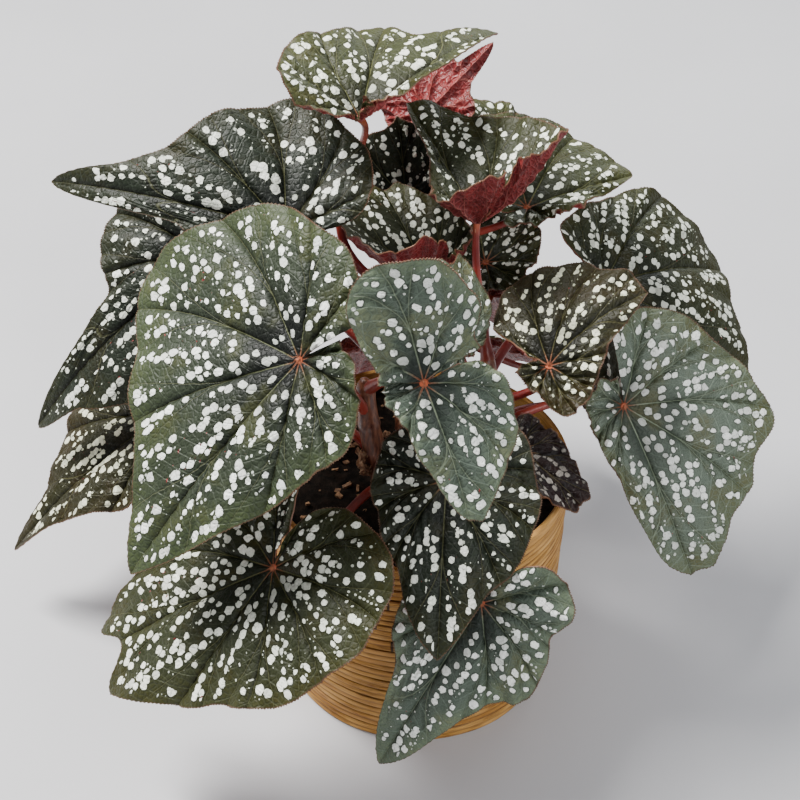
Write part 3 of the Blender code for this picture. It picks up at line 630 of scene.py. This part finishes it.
def leaf_material(leaf):
    seed = leaf.seed
    tone, keep = LOOKS[seed - 1]
    near, between, beside, edge, spot = (tint(colour, 0.001) for colour in TONES[tone])
    graph = Graph(leaf.name + "_face")
    ways = blade_ways(graph)
    moved = graph.vector("ADD", ways.place, (seed * 0.31, seed * 0.17, 0.0))
    patchy = graph.noise(moved, 34.0, 3.0, 0.6)
    fine = graph.noise(moved, 1000.0, 3.0, 0.6)
    ragged = graph.noise(moved, 400.0, 2.0, 0.6) * 1.9 - 0.95
    pebble, net = graph.pebbles(moved, 300.0)
    outward = ways.share + (patchy * 0.5 - 0.25)

    radius = SPOT_RADIUS + SPOT_GROWTH * leaf.length
    large, luck = spot_layer(graph, ways, SPOT_PITCH * radius, keep + 0.08, SPOT_LEAST * radius,
                             radius, ragged, seed)
    dust, _ = spot_layer(graph, ways, DUST_PITCH, DUST_KEEP, *DUST_RADII, ragged * 0.4, seed + 3)
    dust = dust - ways.share.step(0.30, 0.42, 2.0, 0.0)
    spots = large.most(dust).step(-0.08, 0.14)

    # Painted shade: the green darkens to the beside colour within a few millimetres of the main and fork
    # veins, where the blade dips into their grooves
    green = graph.mix(ways.clear.step(0.3, 2.6), beside, between)
    green = graph.mix(outward.step(0.12, 0.62), near, green)
    green = graph.paint(
        green,
        (outward.step(0.66, 1.05, 0.0, 0.85), edge),
        (patchy.step(0.50, 0.66, 0.0, 0.55), tint(edge, OLIVE_SHIFT)),
    )
    green = graph.shade(green, fine.step(0.3, 0.7, 0.78, 1.2))
    # Painted shade and light: each pebbled cell is darker at its rim and lighter in its middle, as its bump
    # would be lit
    green = graph.shade(green, pebble.step(0.0, 1.0, 0.86, 1.08))
    lines = (net * 0.30).most(ways.side * 0.42)
    vein_colour = graph.mix(ways.reach.step(2.0, 11.0), VEIN_RED, tint(between, 1.7, VEIN_GREEN))

    grey = tint(spot, SPOT_GREY)
    dim = outward.step(0.15, 0.55, 0.50, 1.0) * luck.step(0.0, 0.7, 0.72, 1.08)
    worn = fine.step(0.52, 0.66, 0.0, 0.55).most(ragged.step(0.08, 0.34, 0.0, 0.55))
    # Painted shade: spots turn grey towards their rims and stay bright in the middle, like lit raised beads;
    # worn adds grey patches at random
    silver = graph.paint(graph.shade(spot, dim), (large.step(0.45, 0.0, 0.0, 0.5), grey), (worn, grey))
    colour = graph.paint(
        green,
        (lines * outward.step(0.10, 0.65, 0.12, 1.0), tint(between, 2.2, 0.008)),
        # Painted shade: a dark ring just outside each large spot, where the raised spot meets the blade
        (large.step(-0.85, -0.10) * 0.72, tint(beside, 0.35)),
        (ways.fork * 0.6, vein_colour),
        (spots, silver),
        (ways.main * 0.8, vein_colour),
        (ways.to_edge.step(0.9, 0.35, 0.0, 0.8), EDGE_BROWN),
        (ways.reach.step(2.6, 1.0), JOINT_RED),
    )
    grooves = ways.main.most(ways.fork).most(ways.side * 0.6)
    height = fine * 0.3 + pebble * 0.45 - grooves * 0.7 + spots * 0.5
    return graph.finish(colour, fine.step(0.2, 0.8, 0.42, 0.58), height, 0.00045, 0.2)


def underside_material(leaf):
    graph = Graph(leaf.name + "_under")
    ways = blade_ways(graph)
    patchy = graph.noise(ways.place, 60.0, 4.0, 0.6)
    fine = graph.noise(ways.place, 800.0, 3.0, 0.6)
    veins = ways.main.most(ways.fork)
    pebble, net = graph.pebbles(ways.place, 260.0)
    red = graph.mix(patchy.step(0.35, 0.7), (0.080, 0.004, 0.005), (0.21, 0.022, 0.022))
    colour = graph.paint(
        graph.shade(red, fine.step(0.3, 0.7, 0.75, 1.25)),
        (net * 0.5, (0.30, 0.065, 0.060)),
        (ways.side * 0.4, (0.30, 0.060, 0.055)),
        (veins * 0.65, (0.36, 0.105, 0.085)),
        (ways.to_edge.step(1.0, 0.4), (0.15, 0.05, 0.03)),
    )
    return graph.finish(colour, 0.45, veins.most(ways.side) - pebble * 0.7, 0.0005, 0.35)


def rim_material():
    graph = Graph("leaf_rim")
    colour = graph.mix(graph.noise(graph.place(), 300.0), (0.10, 0.045, 0.022), (0.20, 0.085, 0.045))
    return graph.finish(colour, 0.55)


def stem_material(key):
    graph = Graph("stem_" + key + "_skin")
    along = graph.fraction("along")
    broad = graph.noise(graph.place(), 45.0, 4.0)
    streak = graph.streaks(500.0, 90.0, 0.6)
    young = graph.mix(broad.step(0.3, 0.7), (0.13, 0.010, 0.009), (0.26, 0.032, 0.018))
    old = graph.mix(streak.step(0.35, 0.65), (0.08, 0.024, 0.014), (0.22, 0.085, 0.042))
    colour = graph.paint(
        old,
        (along.step(-0.2, 0.15), young),
        (along.step(0.88, 1.0), (0.34, 0.075, 0.030)),
        (streak.step(0.66, 0.72, 0.0, 0.5), (0.50, 0.26, 0.16)),
    )
    return graph.finish(colour, streak.step(0.2, 0.8, 0.26, 0.46), streak + broad * 0.5, 0.0003)


def scale_material():
    graph = Graph("stipule_skin")
    streak = graph.streaks(900.0, 120.0)
    colour = graph.mix(streak.step(0.3, 0.7), (0.20, 0.10, 0.05), (0.52, 0.33, 0.19))
    return graph.finish(colour, 0.75, streak, 0.0003)


def basket_material():
    graph = Graph("basket_reed")
    x, y, z = graph.parts(graph.place())
    turn = graph.math("ARCTAN2", x, y * -1.0)
    reed = (z / REED_HEIGHT).floor()
    reed_luck = graph.luck(reed)
    pair_luck = graph.luck((z / (2 * REED_HEIGHT)).floor())
    grain = graph.noise(graph.point(turn * 7.0, z * 1400.0, reed_luck * 37.0), 1.0, 4.0, 0.65)
    blotch = graph.noise(graph.point(turn * 2.6, reed * 5.3), 1.0, 2.0)
    seam_place = turn * (3 / math.tau) + pair_luck * 7.0
    seam_off = (seam_place.rest() - 0.5).size()
    seam = seam_off.step(0.0055, 0.0028) * graph.fraction("wall")
    colour = graph.paint(
        graph.mix(grain.step(0.30, 0.66), (0.14, 0.046, 0.006), (0.54, 0.27, 0.050)),
        (blotch.step(0.35, 0.75, 0.0, 0.6), (0.76, 0.45, 0.16)),
        (reed_luck.step(0.5, 1.0, 0.0, 0.35), (0.36, 0.15, 0.04)),
        # Painted shade: the grooves between the reeds, and the line under the rim band, are darkened
        (graph.fraction("groove") * 0.85, (0.045, 0.018, 0.008)),
        (seam * 0.9, (0.03, 0.013, 0.006)),
    )
    return graph.finish(colour, grain.step(0.2, 0.8, 0.5, 0.66), grain - seam * 2.0, 0.0004, 0.2)


def liner_material():
    graph = Graph("liner_black")
    speckle = graph.noise(graph.place(), 700.0, 2.0)
    colour = graph.mix(speckle, (0.008, 0.008, 0.008), (0.022, 0.021, 0.020))
    return graph.finish(colour, 0.55, speckle, 0.0001)


def soil_material():
    graph = Graph("soil_crumb")
    broad = graph.noise(graph.place(), 160.0, 5.0, 0.65)
    fine = graph.noise(graph.place(), 900.0, 4.0, 0.7)
    colour = graph.mix(broad.step(0.35, 0.7), (0.002, 0.0015, 0.001), (0.014, 0.009, 0.006))
    colour = graph.mix(fine.step(0.67, 0.75, 0.0, 0.7), colour, (0.13, 0.07, 0.035))
    return graph.finish(colour, 0.92, broad + fine * 0.6, 0.0012, 0.1)


def chip_material():
    graph = Graph("soil_chip")
    streak = graph.noise(graph.place(), 500.0)
    colour = graph.mix(streak.step(0.3, 0.7), (0.07, 0.03, 0.012), (0.34, 0.19, 0.09))
    return graph.finish(colour, 0.8, streak, 0.0004)


def floor_material():
    graph = Graph("floor_plain")
    broad = graph.noise(graph.place(), 1.6)
    fine = graph.noise(graph.place(), 60.0)
    colour = graph.mix(broad.step(0.3, 0.7), (0.43, 0.43, 0.445), (0.49, 0.49, 0.505))
    return graph.finish(colour, fine.step(0.2, 0.8, 0.50, 0.58))


def put(name, data):
    """A new object in the scene, for a mesh, light or camera."""
    made = bpy.data.objects.new(name, data)
    bpy.context.scene.collection.objects.link(made)
    return made


def mesh_piece(name, points, faces, materials, face_material=None, attributes=None, sharp=50):
    mesh = bpy.data.meshes.new(name)
    mesh.from_pydata(np.asarray(points).tolist(), [], faces)
    for material in materials:
        mesh.materials.append(material)
    if face_material is not None:
        mesh.polygons.foreach_set("material_index", face_material)
    for key, values in (attributes or {}).items():
        kind, field = ("FLOAT", "value") if values.ndim == 1 else ("FLOAT_VECTOR", "vector")
        made = mesh.attributes.new(key, kind, "POINT")
        made.data.foreach_set(field, values.astype(np.float32).ravel())
    mesh.shade_smooth()
    mesh.set_sharp_from_angle(angle=math.radians(sharp))
    mesh.update()
    return put(name, mesh)


def column_veins(leaf, split):
    """Vein numbers of the columns, from the notch on the right to the notch on the left."""
    halves = []
    for reach in (360 - leaf.sinus, leaf.sinus):
        last = (reach - NOTCH_ANGLE) / VEIN_STEP
        steps = [whole + part for whole in range(int(last) + 1) for part in COLUMN_STEPS]
        halves.append([step for step in steps if step < last - 0.02] + [last])
    coarse = np.array([-step for step in halves[0][::-1]] + halves[1][1:])
    fine = np.interp(np.arange((len(coarse) - 1) * split + 1) / split, np.arange(len(coarse)), coarse)
    return coarse, fine


def hump(distance, size):
    """Height of a rounded ridge of the given height and half width."""
    return size[0] * np.exp(-(distance / size[1]) ** 2)


def relief(leaf, vein, share, reach):
    """Height of the veined and puckered face over the plain blade, in metres."""
    offset = np.abs(vein - np.round(vein))
    spacing = reach * VEIN_SPREAD
    fork_line = FORK_INSET + (FORK_OFFSET - FORK_INSET) * smoothstep(share, FORK_START, 1.1)
    forked = smoothstep(share, FORK_START, FORK_START + FORK_RISE)
    to_fork = np.abs(offset - fork_line) * spacing + 0.009 * (1 - forked)
    fade = 1 - 0.45 * smoothstep(share, 0.8, 1.0)
    groove = hump(offset * spacing, MAIN_GROOVE) + hump(to_fork, FORK_GROOVE)
    bulge = np.sqrt(np.clip(offset * 2, 0, 1)) * smoothstep(share, 0.06, 0.4)
    bulge = bulge * PUCKER_PER_LENGTH * leaf.length
    lanes = LANE_HEIGHT * np.cos(math.tau * SPOT_LANES * (offset - 1 / 6)) * smoothstep(share, 0.45, 0.9)
    side_line = reach * 1000 * SIDE_VEINS_PER_MM - SIDE_VEIN_LEAN * offset
    side = SIDE_VEIN_HEIGHT * np.cos(math.tau * side_line) * smoothstep(share, 0.12, 0.4)
    seed = leaf.seed
    pimple = PIMPLE_HEIGHT * np.sin(vein * 19 + seed) * np.sin(share * 67 + seed * 2)
    ripple = RIPPLE_HEIGHT * np.sin(math.tau * 1.5 * vein + seed * 1.7) * smoothstep(share, 0.72, 1.0)
    return (bulge + side + lanes + pimple - groove) * fade + ripple


def grid_normals(grid):
    """Unit normals of a grid of points."""
    normal = np.cross(np.gradient(grid, axis=1), np.gradient(grid, axis=0))
    length = np.linalg.norm(normal, axis=-1, keepdims=True)
    return normal / np.maximum(length, 1e-12)


def blade_grid(leaf, vein, share, tooth=0.0):
    """Middle surface, normals and flat places of a grid of vein numbers and shares."""
    phi = vein_angle(leaf, vein, share)
    radius = leaf.radius(phi)
    grid = leaf.surface(phi, share * (1 + tooth / radius))
    normal = grid_normals(grid)
    if normal[normal.shape[0] // 2, 0, 2] < 0:
        normal = -normal
    reach = share * radius
    grid = grid + normal * relief(leaf, vein, share, reach)[..., None]
    turned = phi + math.pi - math.radians(leaf.sinus)
    flat = np.stack([reach * np.cos(turned), reach * np.sin(turned), np.zeros_like(reach)], axis=-1)
    return grid, normal, flat


def strip(first, second, count):
    """Four-sided faces between two rows of points."""
    return [(first + j, first + j + 1, second + j + 1, second + j) for j in range(count - 1)]


def blade_piece(leaf, materials, rows=ROWS, split=EDGE_SPLIT):
    """Closed thin blade with a toothed edge, from a coarse inner grid and a fine outer band."""
    coarse, fine = column_veins(leaf, split)
    inner = np.meshgrid(coarse, np.linspace(*INNER_SHARES, rows), indexing="ij")
    outer = np.meshgrid(fine, OUTER_SHARES, indexing="ij")
    rng = np.random.default_rng(leaf.seed)
    teeth = np.where(np.arange(len(fine)) % 2 == 0, -0.5, 0.5) * TOOTH
    tooth = np.outer(teeth * rng.uniform(0.4, 1.5, len(fine)), TOOTH_SHARES)
    grids = blade_grid(leaf, *inner), blade_grid(leaf, *outer, tooth)
    points, normals, flats = (
        np.concatenate([[start], near.reshape(-1, 3), far.reshape(-1, 3)])
        for start, near, far in zip(((0.0, 0.0, 0.0), (0.0, 0.0, 1.0), (0.0, 0.0, 0.0)), *grids)
    )
    veins, shares = (np.concatenate([[0.0], near.ravel(), far.ravel()]) for near, far in zip(inner, outer))

    count = len(points)
    bands = len(OUTER_SHARES)
    outer_start = 1 + len(coarse) * rows
    faces = []
    for i in range(len(coarse) - 1):
        first = 1 + i * rows
        second = first + rows
        faces.append((0, first, second))
        faces += strip(first, second, rows)
        edge = [outer_start + (i * split + k) * bands for k in range(split + 1)]
        faces.append((first + rows - 1, *edge, second + rows - 1))
    for i in range(len(fine) - 1):
        first = outer_start + i * bands
        faces += strip(first, first + bands, bands)
    top_faces = len(faces)
    faces += [tuple(count + k for k in reversed(face)) for face in faces]

    right_edge = [*range(1 + rows), *range(outer_start, outer_start + bands - 1)]
    left_edge = [*range(outer_start - rows, outer_start), *range(count - bands, count - 1)]
    border = right_edge + list(range(outer_start + bands - 1, count, bands)) + left_edge[::-1]
    for a, b in zip(border, border[1:] + border[:1]):
        faces.append((a, a + count, b + count, b))

    to_main = np.abs(veins - np.round(veins)) * np.linalg.norm(flats, axis=1) * VEIN_SPREAD
    ridge = hump(to_main, UNDER_RIDGE) * (1 - 0.75 * smoothstep(shares, 0.1, 0.9))
    axes = np.array(leaf.axes())
    top = leaf.at + (points + normals * BLADE_HALF) @ axes
    bottom = leaf.at + (points - normals * (BLADE_HALF + ridge)[:, None]) @ axes
    face_material = [0] * top_faces + [1] * top_faces + [2] * len(border)
    values = {"vein": veins, "share": shares, "flat": flats}
    attributes = {key: np.concatenate([value, value]) for key, value in values.items()}
    return mesh_piece(leaf.name + "_blade", np.concatenate([top, bottom]), faces, materials,
                      face_material, attributes)


def stalk_line(leaf, count):
    """Centre line of a leaf's stalk, from inside its cane to the blade."""
    key, root_height, steepness = leaf.stalk[:3]
    steer = leaf.stalk[3:]
    ahead, _, face = leaf.axes()
    cane = np.array(CANES[key]) / 1000
    root = np.array([np.interp(root_height / 1000, cane[:, 2], column) for column in cane.T])
    end = leaf.at - face * STALK_END_GAP
    span = np.linalg.norm(end - root)
    level = (end - root) * (1, 1, 0)
    level /= np.linalg.norm(level)
    first = root + (level * 0.5 + (0.0, 0.0, steepness)) * span * STALK_REACH
    second = end - (face * 0.75 + ahead * 0.35) * span * STALK_REACH
    if steer:
        first = np.array(steer[0]) / 1000
        if steer[1] is not None:
            second = np.array(steer[1]) / 1000
    t = np.linspace(0, 1, count)[:, None]
    near = (1 - t) ** 3 * root + 3 * (1 - t) ** 2 * t * first
    far = 3 * (1 - t) * t ** 2 * second + t ** 3 * end
    return near + far


def ring_faces(rings, turns, start=0, flip=False):
    """Four-sided faces between rings of points. Flipped, they face the other way."""
    faces = []
    for first in range(start, start + (rings - 1) * turns, turns):
        for j in range(turns):
            k = (j + 1) % turns
            a, b, c, d = first + j, first + k, first + turns + k, first + turns + j
            faces.append((a, d, c, b) if flip else (a, b, c, d))
    return faces


def tube(line, radii, sides, along):
    """Points, faces and along values of a closed round tube."""
    tangent = np.gradient(line, axis=0)
    tangent /= np.linalg.norm(tangent, axis=1)[:, None]
    across = np.cross(tangent[0], (0.3, 0.9, 0.2))
    turn = np.linspace(0, math.tau, sides, endpoint=False)[:, None]
    rings = []
    for place, ahead, radius in zip(line, tangent, radii):
        across = across - ahead * (across @ ahead)
        across /= np.linalg.norm(across)
        rings.append(place + radius * (np.cos(turn) * across + np.sin(turn) * np.cross(ahead, across)))
    last = (len(line) - 1) * sides
    faces = [tuple(reversed(range(sides))), *ring_faces(len(line), sides), tuple(range(last, last + sides))]
    return np.concatenate(rings), faces, np.repeat(along, sides)


def stem_piece(key, material):
    """Cane with swollen joints, and every stalk that grows from it."""
    heights = np.linspace(0, 1, CANE_POINTS)
    foot = (*CANES[key][0][:2], CANE_FOOT_HEIGHT)
    knots = np.array((foot, *CANES[key])) / 1000
    places = np.linspace(0, 1, len(knots))
    line = np.stack([smooth_curve(heights, list(zip(places, column))) for column in knots.T], axis=1)
    swelling = 0.10 * np.exp(-((heights * 7 % 1 - 0.5) / 0.12) ** 2)
    radii = smooth_curve(heights, list(zip(places, CANE_RADII))) * (0.94 + swelling)
    radii[-3:] *= (0.92, 0.75, 0.45)
    groups = [tube(line, radii, CANE_SIDES, np.full(CANE_POINTS, -0.3))]
    t = np.linspace(0, 1, STALK_POINTS)
    radii = STALK_ROOT_RADIUS + (STALK_END_RADIUS - STALK_ROOT_RADIUS) * t
    radii = radii * (1 + 0.35 * smoothstep(t, 0.12, 0.0) + 0.18 * smoothstep(t, 0.90, 1.0))
    for leaf in LEAVES:
        if leaf.stalk[0] == key:
            groups.append(tube(stalk_line(leaf, STALK_POINTS), radii, STALK_SIDES, t))
    faces = []
    start = 0
    for points, tube_faces, _ in groups:
        faces += [tuple(start + k for k in face) for face in tube_faces]
        start += len(points)
    points = np.concatenate([group[0] for group in groups])
    along = np.concatenate([group[2] for group in groups])
    return mesh_piece("stem_" + key + "_skin", points, faces, (material,), None, {"along": along}, 60)


def wall_radius(height):
    return BASE_RADIUS + (RIM_RADIUS - BASE_RADIUS) * height / POT_HEIGHT


def basket_rows():
    """Rows of the basket's skin, from its inside over the rim and down: radius, height, phase of
    the wobble, painted shade in the groove, and 1 on the reeds."""
    rng = random.Random(5)
    top = wall_radius(POT_HEIGHT)
    plain = [
        (BASKET_MIDDLE, BASKET_FLOOR),
        (wall_radius(0) - BASKET_WALL, BASKET_FLOOR),
        (top - BASKET_WALL, POT_HEIGHT - RIM_ROUND),
        (top - BASKET_WALL + RIM_ROUND, POT_HEIGHT),
        (top - 0.0007, POT_HEIGHT),
    ]
    for height in (POT_HEIGHT - RIM_ROUND, POT_HEIGHT - 0.004, BAND_FOOT + RIM_ROUND):
        plain.append((wall_radius(height), height))
    rows = [(radius, height, 0.0, 0.0, 0.0) for radius, height in plain]
    rows.append((wall_radius(BAND_FOOT) - BAND_LINE_DEPTH, BAND_FOOT, 0.0, 1.0, 0.0))
    for reed in reversed(range(REED_COUNT)):
        phase = rng.uniform(0, math.tau)
        between_pairs = reed % 2 == 0
        depth = REED_DEPTH if between_pairs else REED_DEPTH * 0.55
        for part, groove in REED_STEPS:
            height = (reed + part) * REED_HEIGHT
            bow = math.sqrt(max(0.0, 1 - (2 * part - 1) ** 2)) if part else 0.0
            if not between_pairs:
                groove *= 0.7
            rows.append((wall_radius(height) - depth * (1 - bow), height, phase, groove, 1.0))
    rows.append((wall_radius(0) - FOOT_TUCK, 0.0, 0.0, 0.0, 0.0))
    rows.append((BASKET_MIDDLE, 0.0, 0.0, 0.0, 0.0))
    return rows


def basket_piece(material):
    """Reeds laid in pairs, under a plain band at the rim."""
    theta = np.arange(BASKET_TURNS) * math.tau / BASKET_TURNS
    rows = basket_rows()
    points = []
    for radius, height, phase, _, on_wall in rows:
        wobble = REED_WOBBLE * on_wall * (np.sin(3 * theta + phase) + 0.7 * np.sin(11 * theta + 2 * phase))
        lift = REED_LIFT * on_wall * np.sin(2 * theta + 0.4 * height / REED_HEIGHT)
        if not 0 < height < BAND_FOOT:
            lift = 0.0
        points.append(np.stack([(radius + wobble) * np.sin(theta), (radius + wobble) * np.cos(theta),
                                np.full(BASKET_TURNS, height) + lift], axis=1))
    last = (len(rows) - 1) * BASKET_TURNS
    faces = [tuple(range(BASKET_TURNS)), *ring_faces(len(rows), BASKET_TURNS, 0, True),
             tuple(reversed(range(last, last + BASKET_TURNS)))]
    groove, wall = (np.repeat([row[column] for row in rows], BASKET_TURNS) for column in (3, 4))
    return mesh_piece("basket_reeds", np.concatenate(points), faces, (material,), None,
                      {"groove": groove, "wall": wall})


def soil_chip(rng):
    """Corners of one small turned and tilted chip, pressed into the soil."""
    radius = SOIL_RADIUS * 0.96 * math.sqrt(rng.uniform(0, 1))
    angle = rng.uniform(0, math.tau)
    size = rng.uniform(*CHIP_SIZES)
    shape = [size * rng.uniform(low, high) for low, high in ((0.8, 1.8), (0.4, 0.8), (0.2, 0.45))]
    corners = np.array([(a, b, c) for a in (-1, 1) for b in (-1, 1) for c in (-1, 1)], float)
    x, y, z = (corners * (rng.uniform(0.55, 1.1, (8, 3)) * shape)).T
    spin = rng.uniform(0, math.tau)
    lean = rng.uniform(-0.4, 0.4)
    turned = np.stack([x * math.cos(spin) - y * math.sin(spin), x * math.sin(spin) + y * math.cos(spin),
                       z + x * lean], axis=1)
    return turned + (radius * math.cos(angle), radius * math.sin(angle), SOIL_TOP - 0.0008)


def soil_piece(soil, chip):
    """Crumbly soil surface with bits of bark pressed into it."""
    rng = np.random.default_rng(11)
    theta = np.arange(SOIL_TURNS) * math.tau / SOIL_TURNS
    points = [[(0.0, 0.0, SOIL_TOP)]]
    waves = [(rng.uniform(60, 900, 2), rng.uniform(0, 6.28, 2)) for _ in range(SOIL_WAVES)]
    for ring in range(1, SOIL_RINGS + 1):
        share = ring / SOIL_RINGS
        x, y = SOIL_RADIUS * share * np.cos(theta), SOIL_RADIUS * share * np.sin(theta)
        height = np.zeros(SOIL_TURNS)
        for (fx, fy), (px, py) in waves:
            height += SOIL_WAVE_HEIGHT * np.sin(fx * x + px) * np.sin(fy * y + py) * (400 / (fx + fy)) ** 0.5
        height = height * (1 - smoothstep(share, 0.93, 1.0)) - 0.0013 * smoothstep(share, 0.6, 1.0)
        points.append(np.stack([x, y, SOIL_TOP - SOIL_DROP + height], axis=1))
    points.append(np.stack([x, y, np.full(SOIL_TURNS, SOIL_TOP - SOIL_SKIRT)], axis=1))
    last = 1 + SOIL_RINGS * SOIL_TURNS
    faces = [(0, 1 + j, 1 + (j + 1) % SOIL_TURNS) for j in range(SOIL_TURNS)]
    faces += ring_faces(SOIL_RINGS + 1, SOIL_TURNS, 1, True)
    faces.append(tuple(reversed(range(last, last + SOIL_TURNS))))
    face_material = [0] * len(faces) + [1] * CHIP_COUNT * len(CHIP_SIDES)
    start = last + SOIL_TURNS
    for _ in range(CHIP_COUNT):
        points.append(soil_chip(rng))
        faces += [tuple(start + k for k in side) for side in CHIP_SIDES]
        start += 8
    return mesh_piece("soil_surface", np.concatenate(points), faces, (soil, chip), face_material, None, 40)


def add_leaves():
    rim = rim_material()
    for leaf in LEAVES:
        rows = ROWS if leaf.length > SMALL_BLADE else SMALL_ROWS
        piece = blade_piece(leaf, (leaf_material(leaf), underside_material(leaf), rim), rows)
        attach(piece, "root")
        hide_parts(leaf.name)


def add_scales():
    skin = scale_material()
    for scale in SCALES:
        piece = blade_piece(scale, (skin, skin, skin), 10, 2)
        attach(piece, "root")
        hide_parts(scale.name)


def add_stems():
    for key in CANES:
        piece = stem_piece(key, stem_material(key))
        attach(piece, "root")
        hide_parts("stem_" + key)


def add_pot():
    basket = basket_piece(basket_material())
    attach(basket, "root")
    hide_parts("basket")
    soil = soil_piece(soil_material(), chip_material())
    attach(soil, "root")
    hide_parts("soil")
    black = liner_material()
    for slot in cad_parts["liner"].material_slots:
        slot.material = black


def add_floor():
    bpy.ops.mesh.primitive_plane_add(size=FLOOR_SIZE, location=(0.0, 0.0, 0.0))
    floor = bpy.context.active_object
    floor.name = "floor"
    floor.data.materials.append(floor_material())


def add_lights():
    for name, place, size, energy, colour in LIGHTS:
        data = bpy.data.lights.new(name, "AREA")
        data.shape = "SQUARE"
        data.size = size
        data.energy = energy
        data.color = colour
        light = put(name, data)
        light.location = place
        facing = Vector(PLANT_MIDDLE) - Vector(place)
        light.rotation_euler = facing.to_track_quat("-Z", "Y").to_euler()
    world = bpy.data.worlds.new("studio")
    world.use_nodes = True
    sky = world.node_tree.nodes["Background"]
    sky.inputs["Color"].default_value = SKY_COLOUR
    sky.inputs["Strength"].default_value = SKY_STRENGTH
    bpy.context.scene.world = world


def add_camera():
    data = bpy.data.cameras.new("camera")
    data.sensor_width = SENSOR_WIDTH
    data.lens = FOCAL_PIXELS / IMAGE_SIZE * SENSOR_WIDTH
    camera = put("camera", data)
    camera.location = CAMERA_PLACE
    camera.rotation_euler = (math.radians(90 - CAMERA_PITCH), 0.0, 0.0)
    bpy.context.scene.camera = camera


add_leaves()
add_scales()
add_stems()
add_pot()
add_floor()
add_lights()
add_camera()
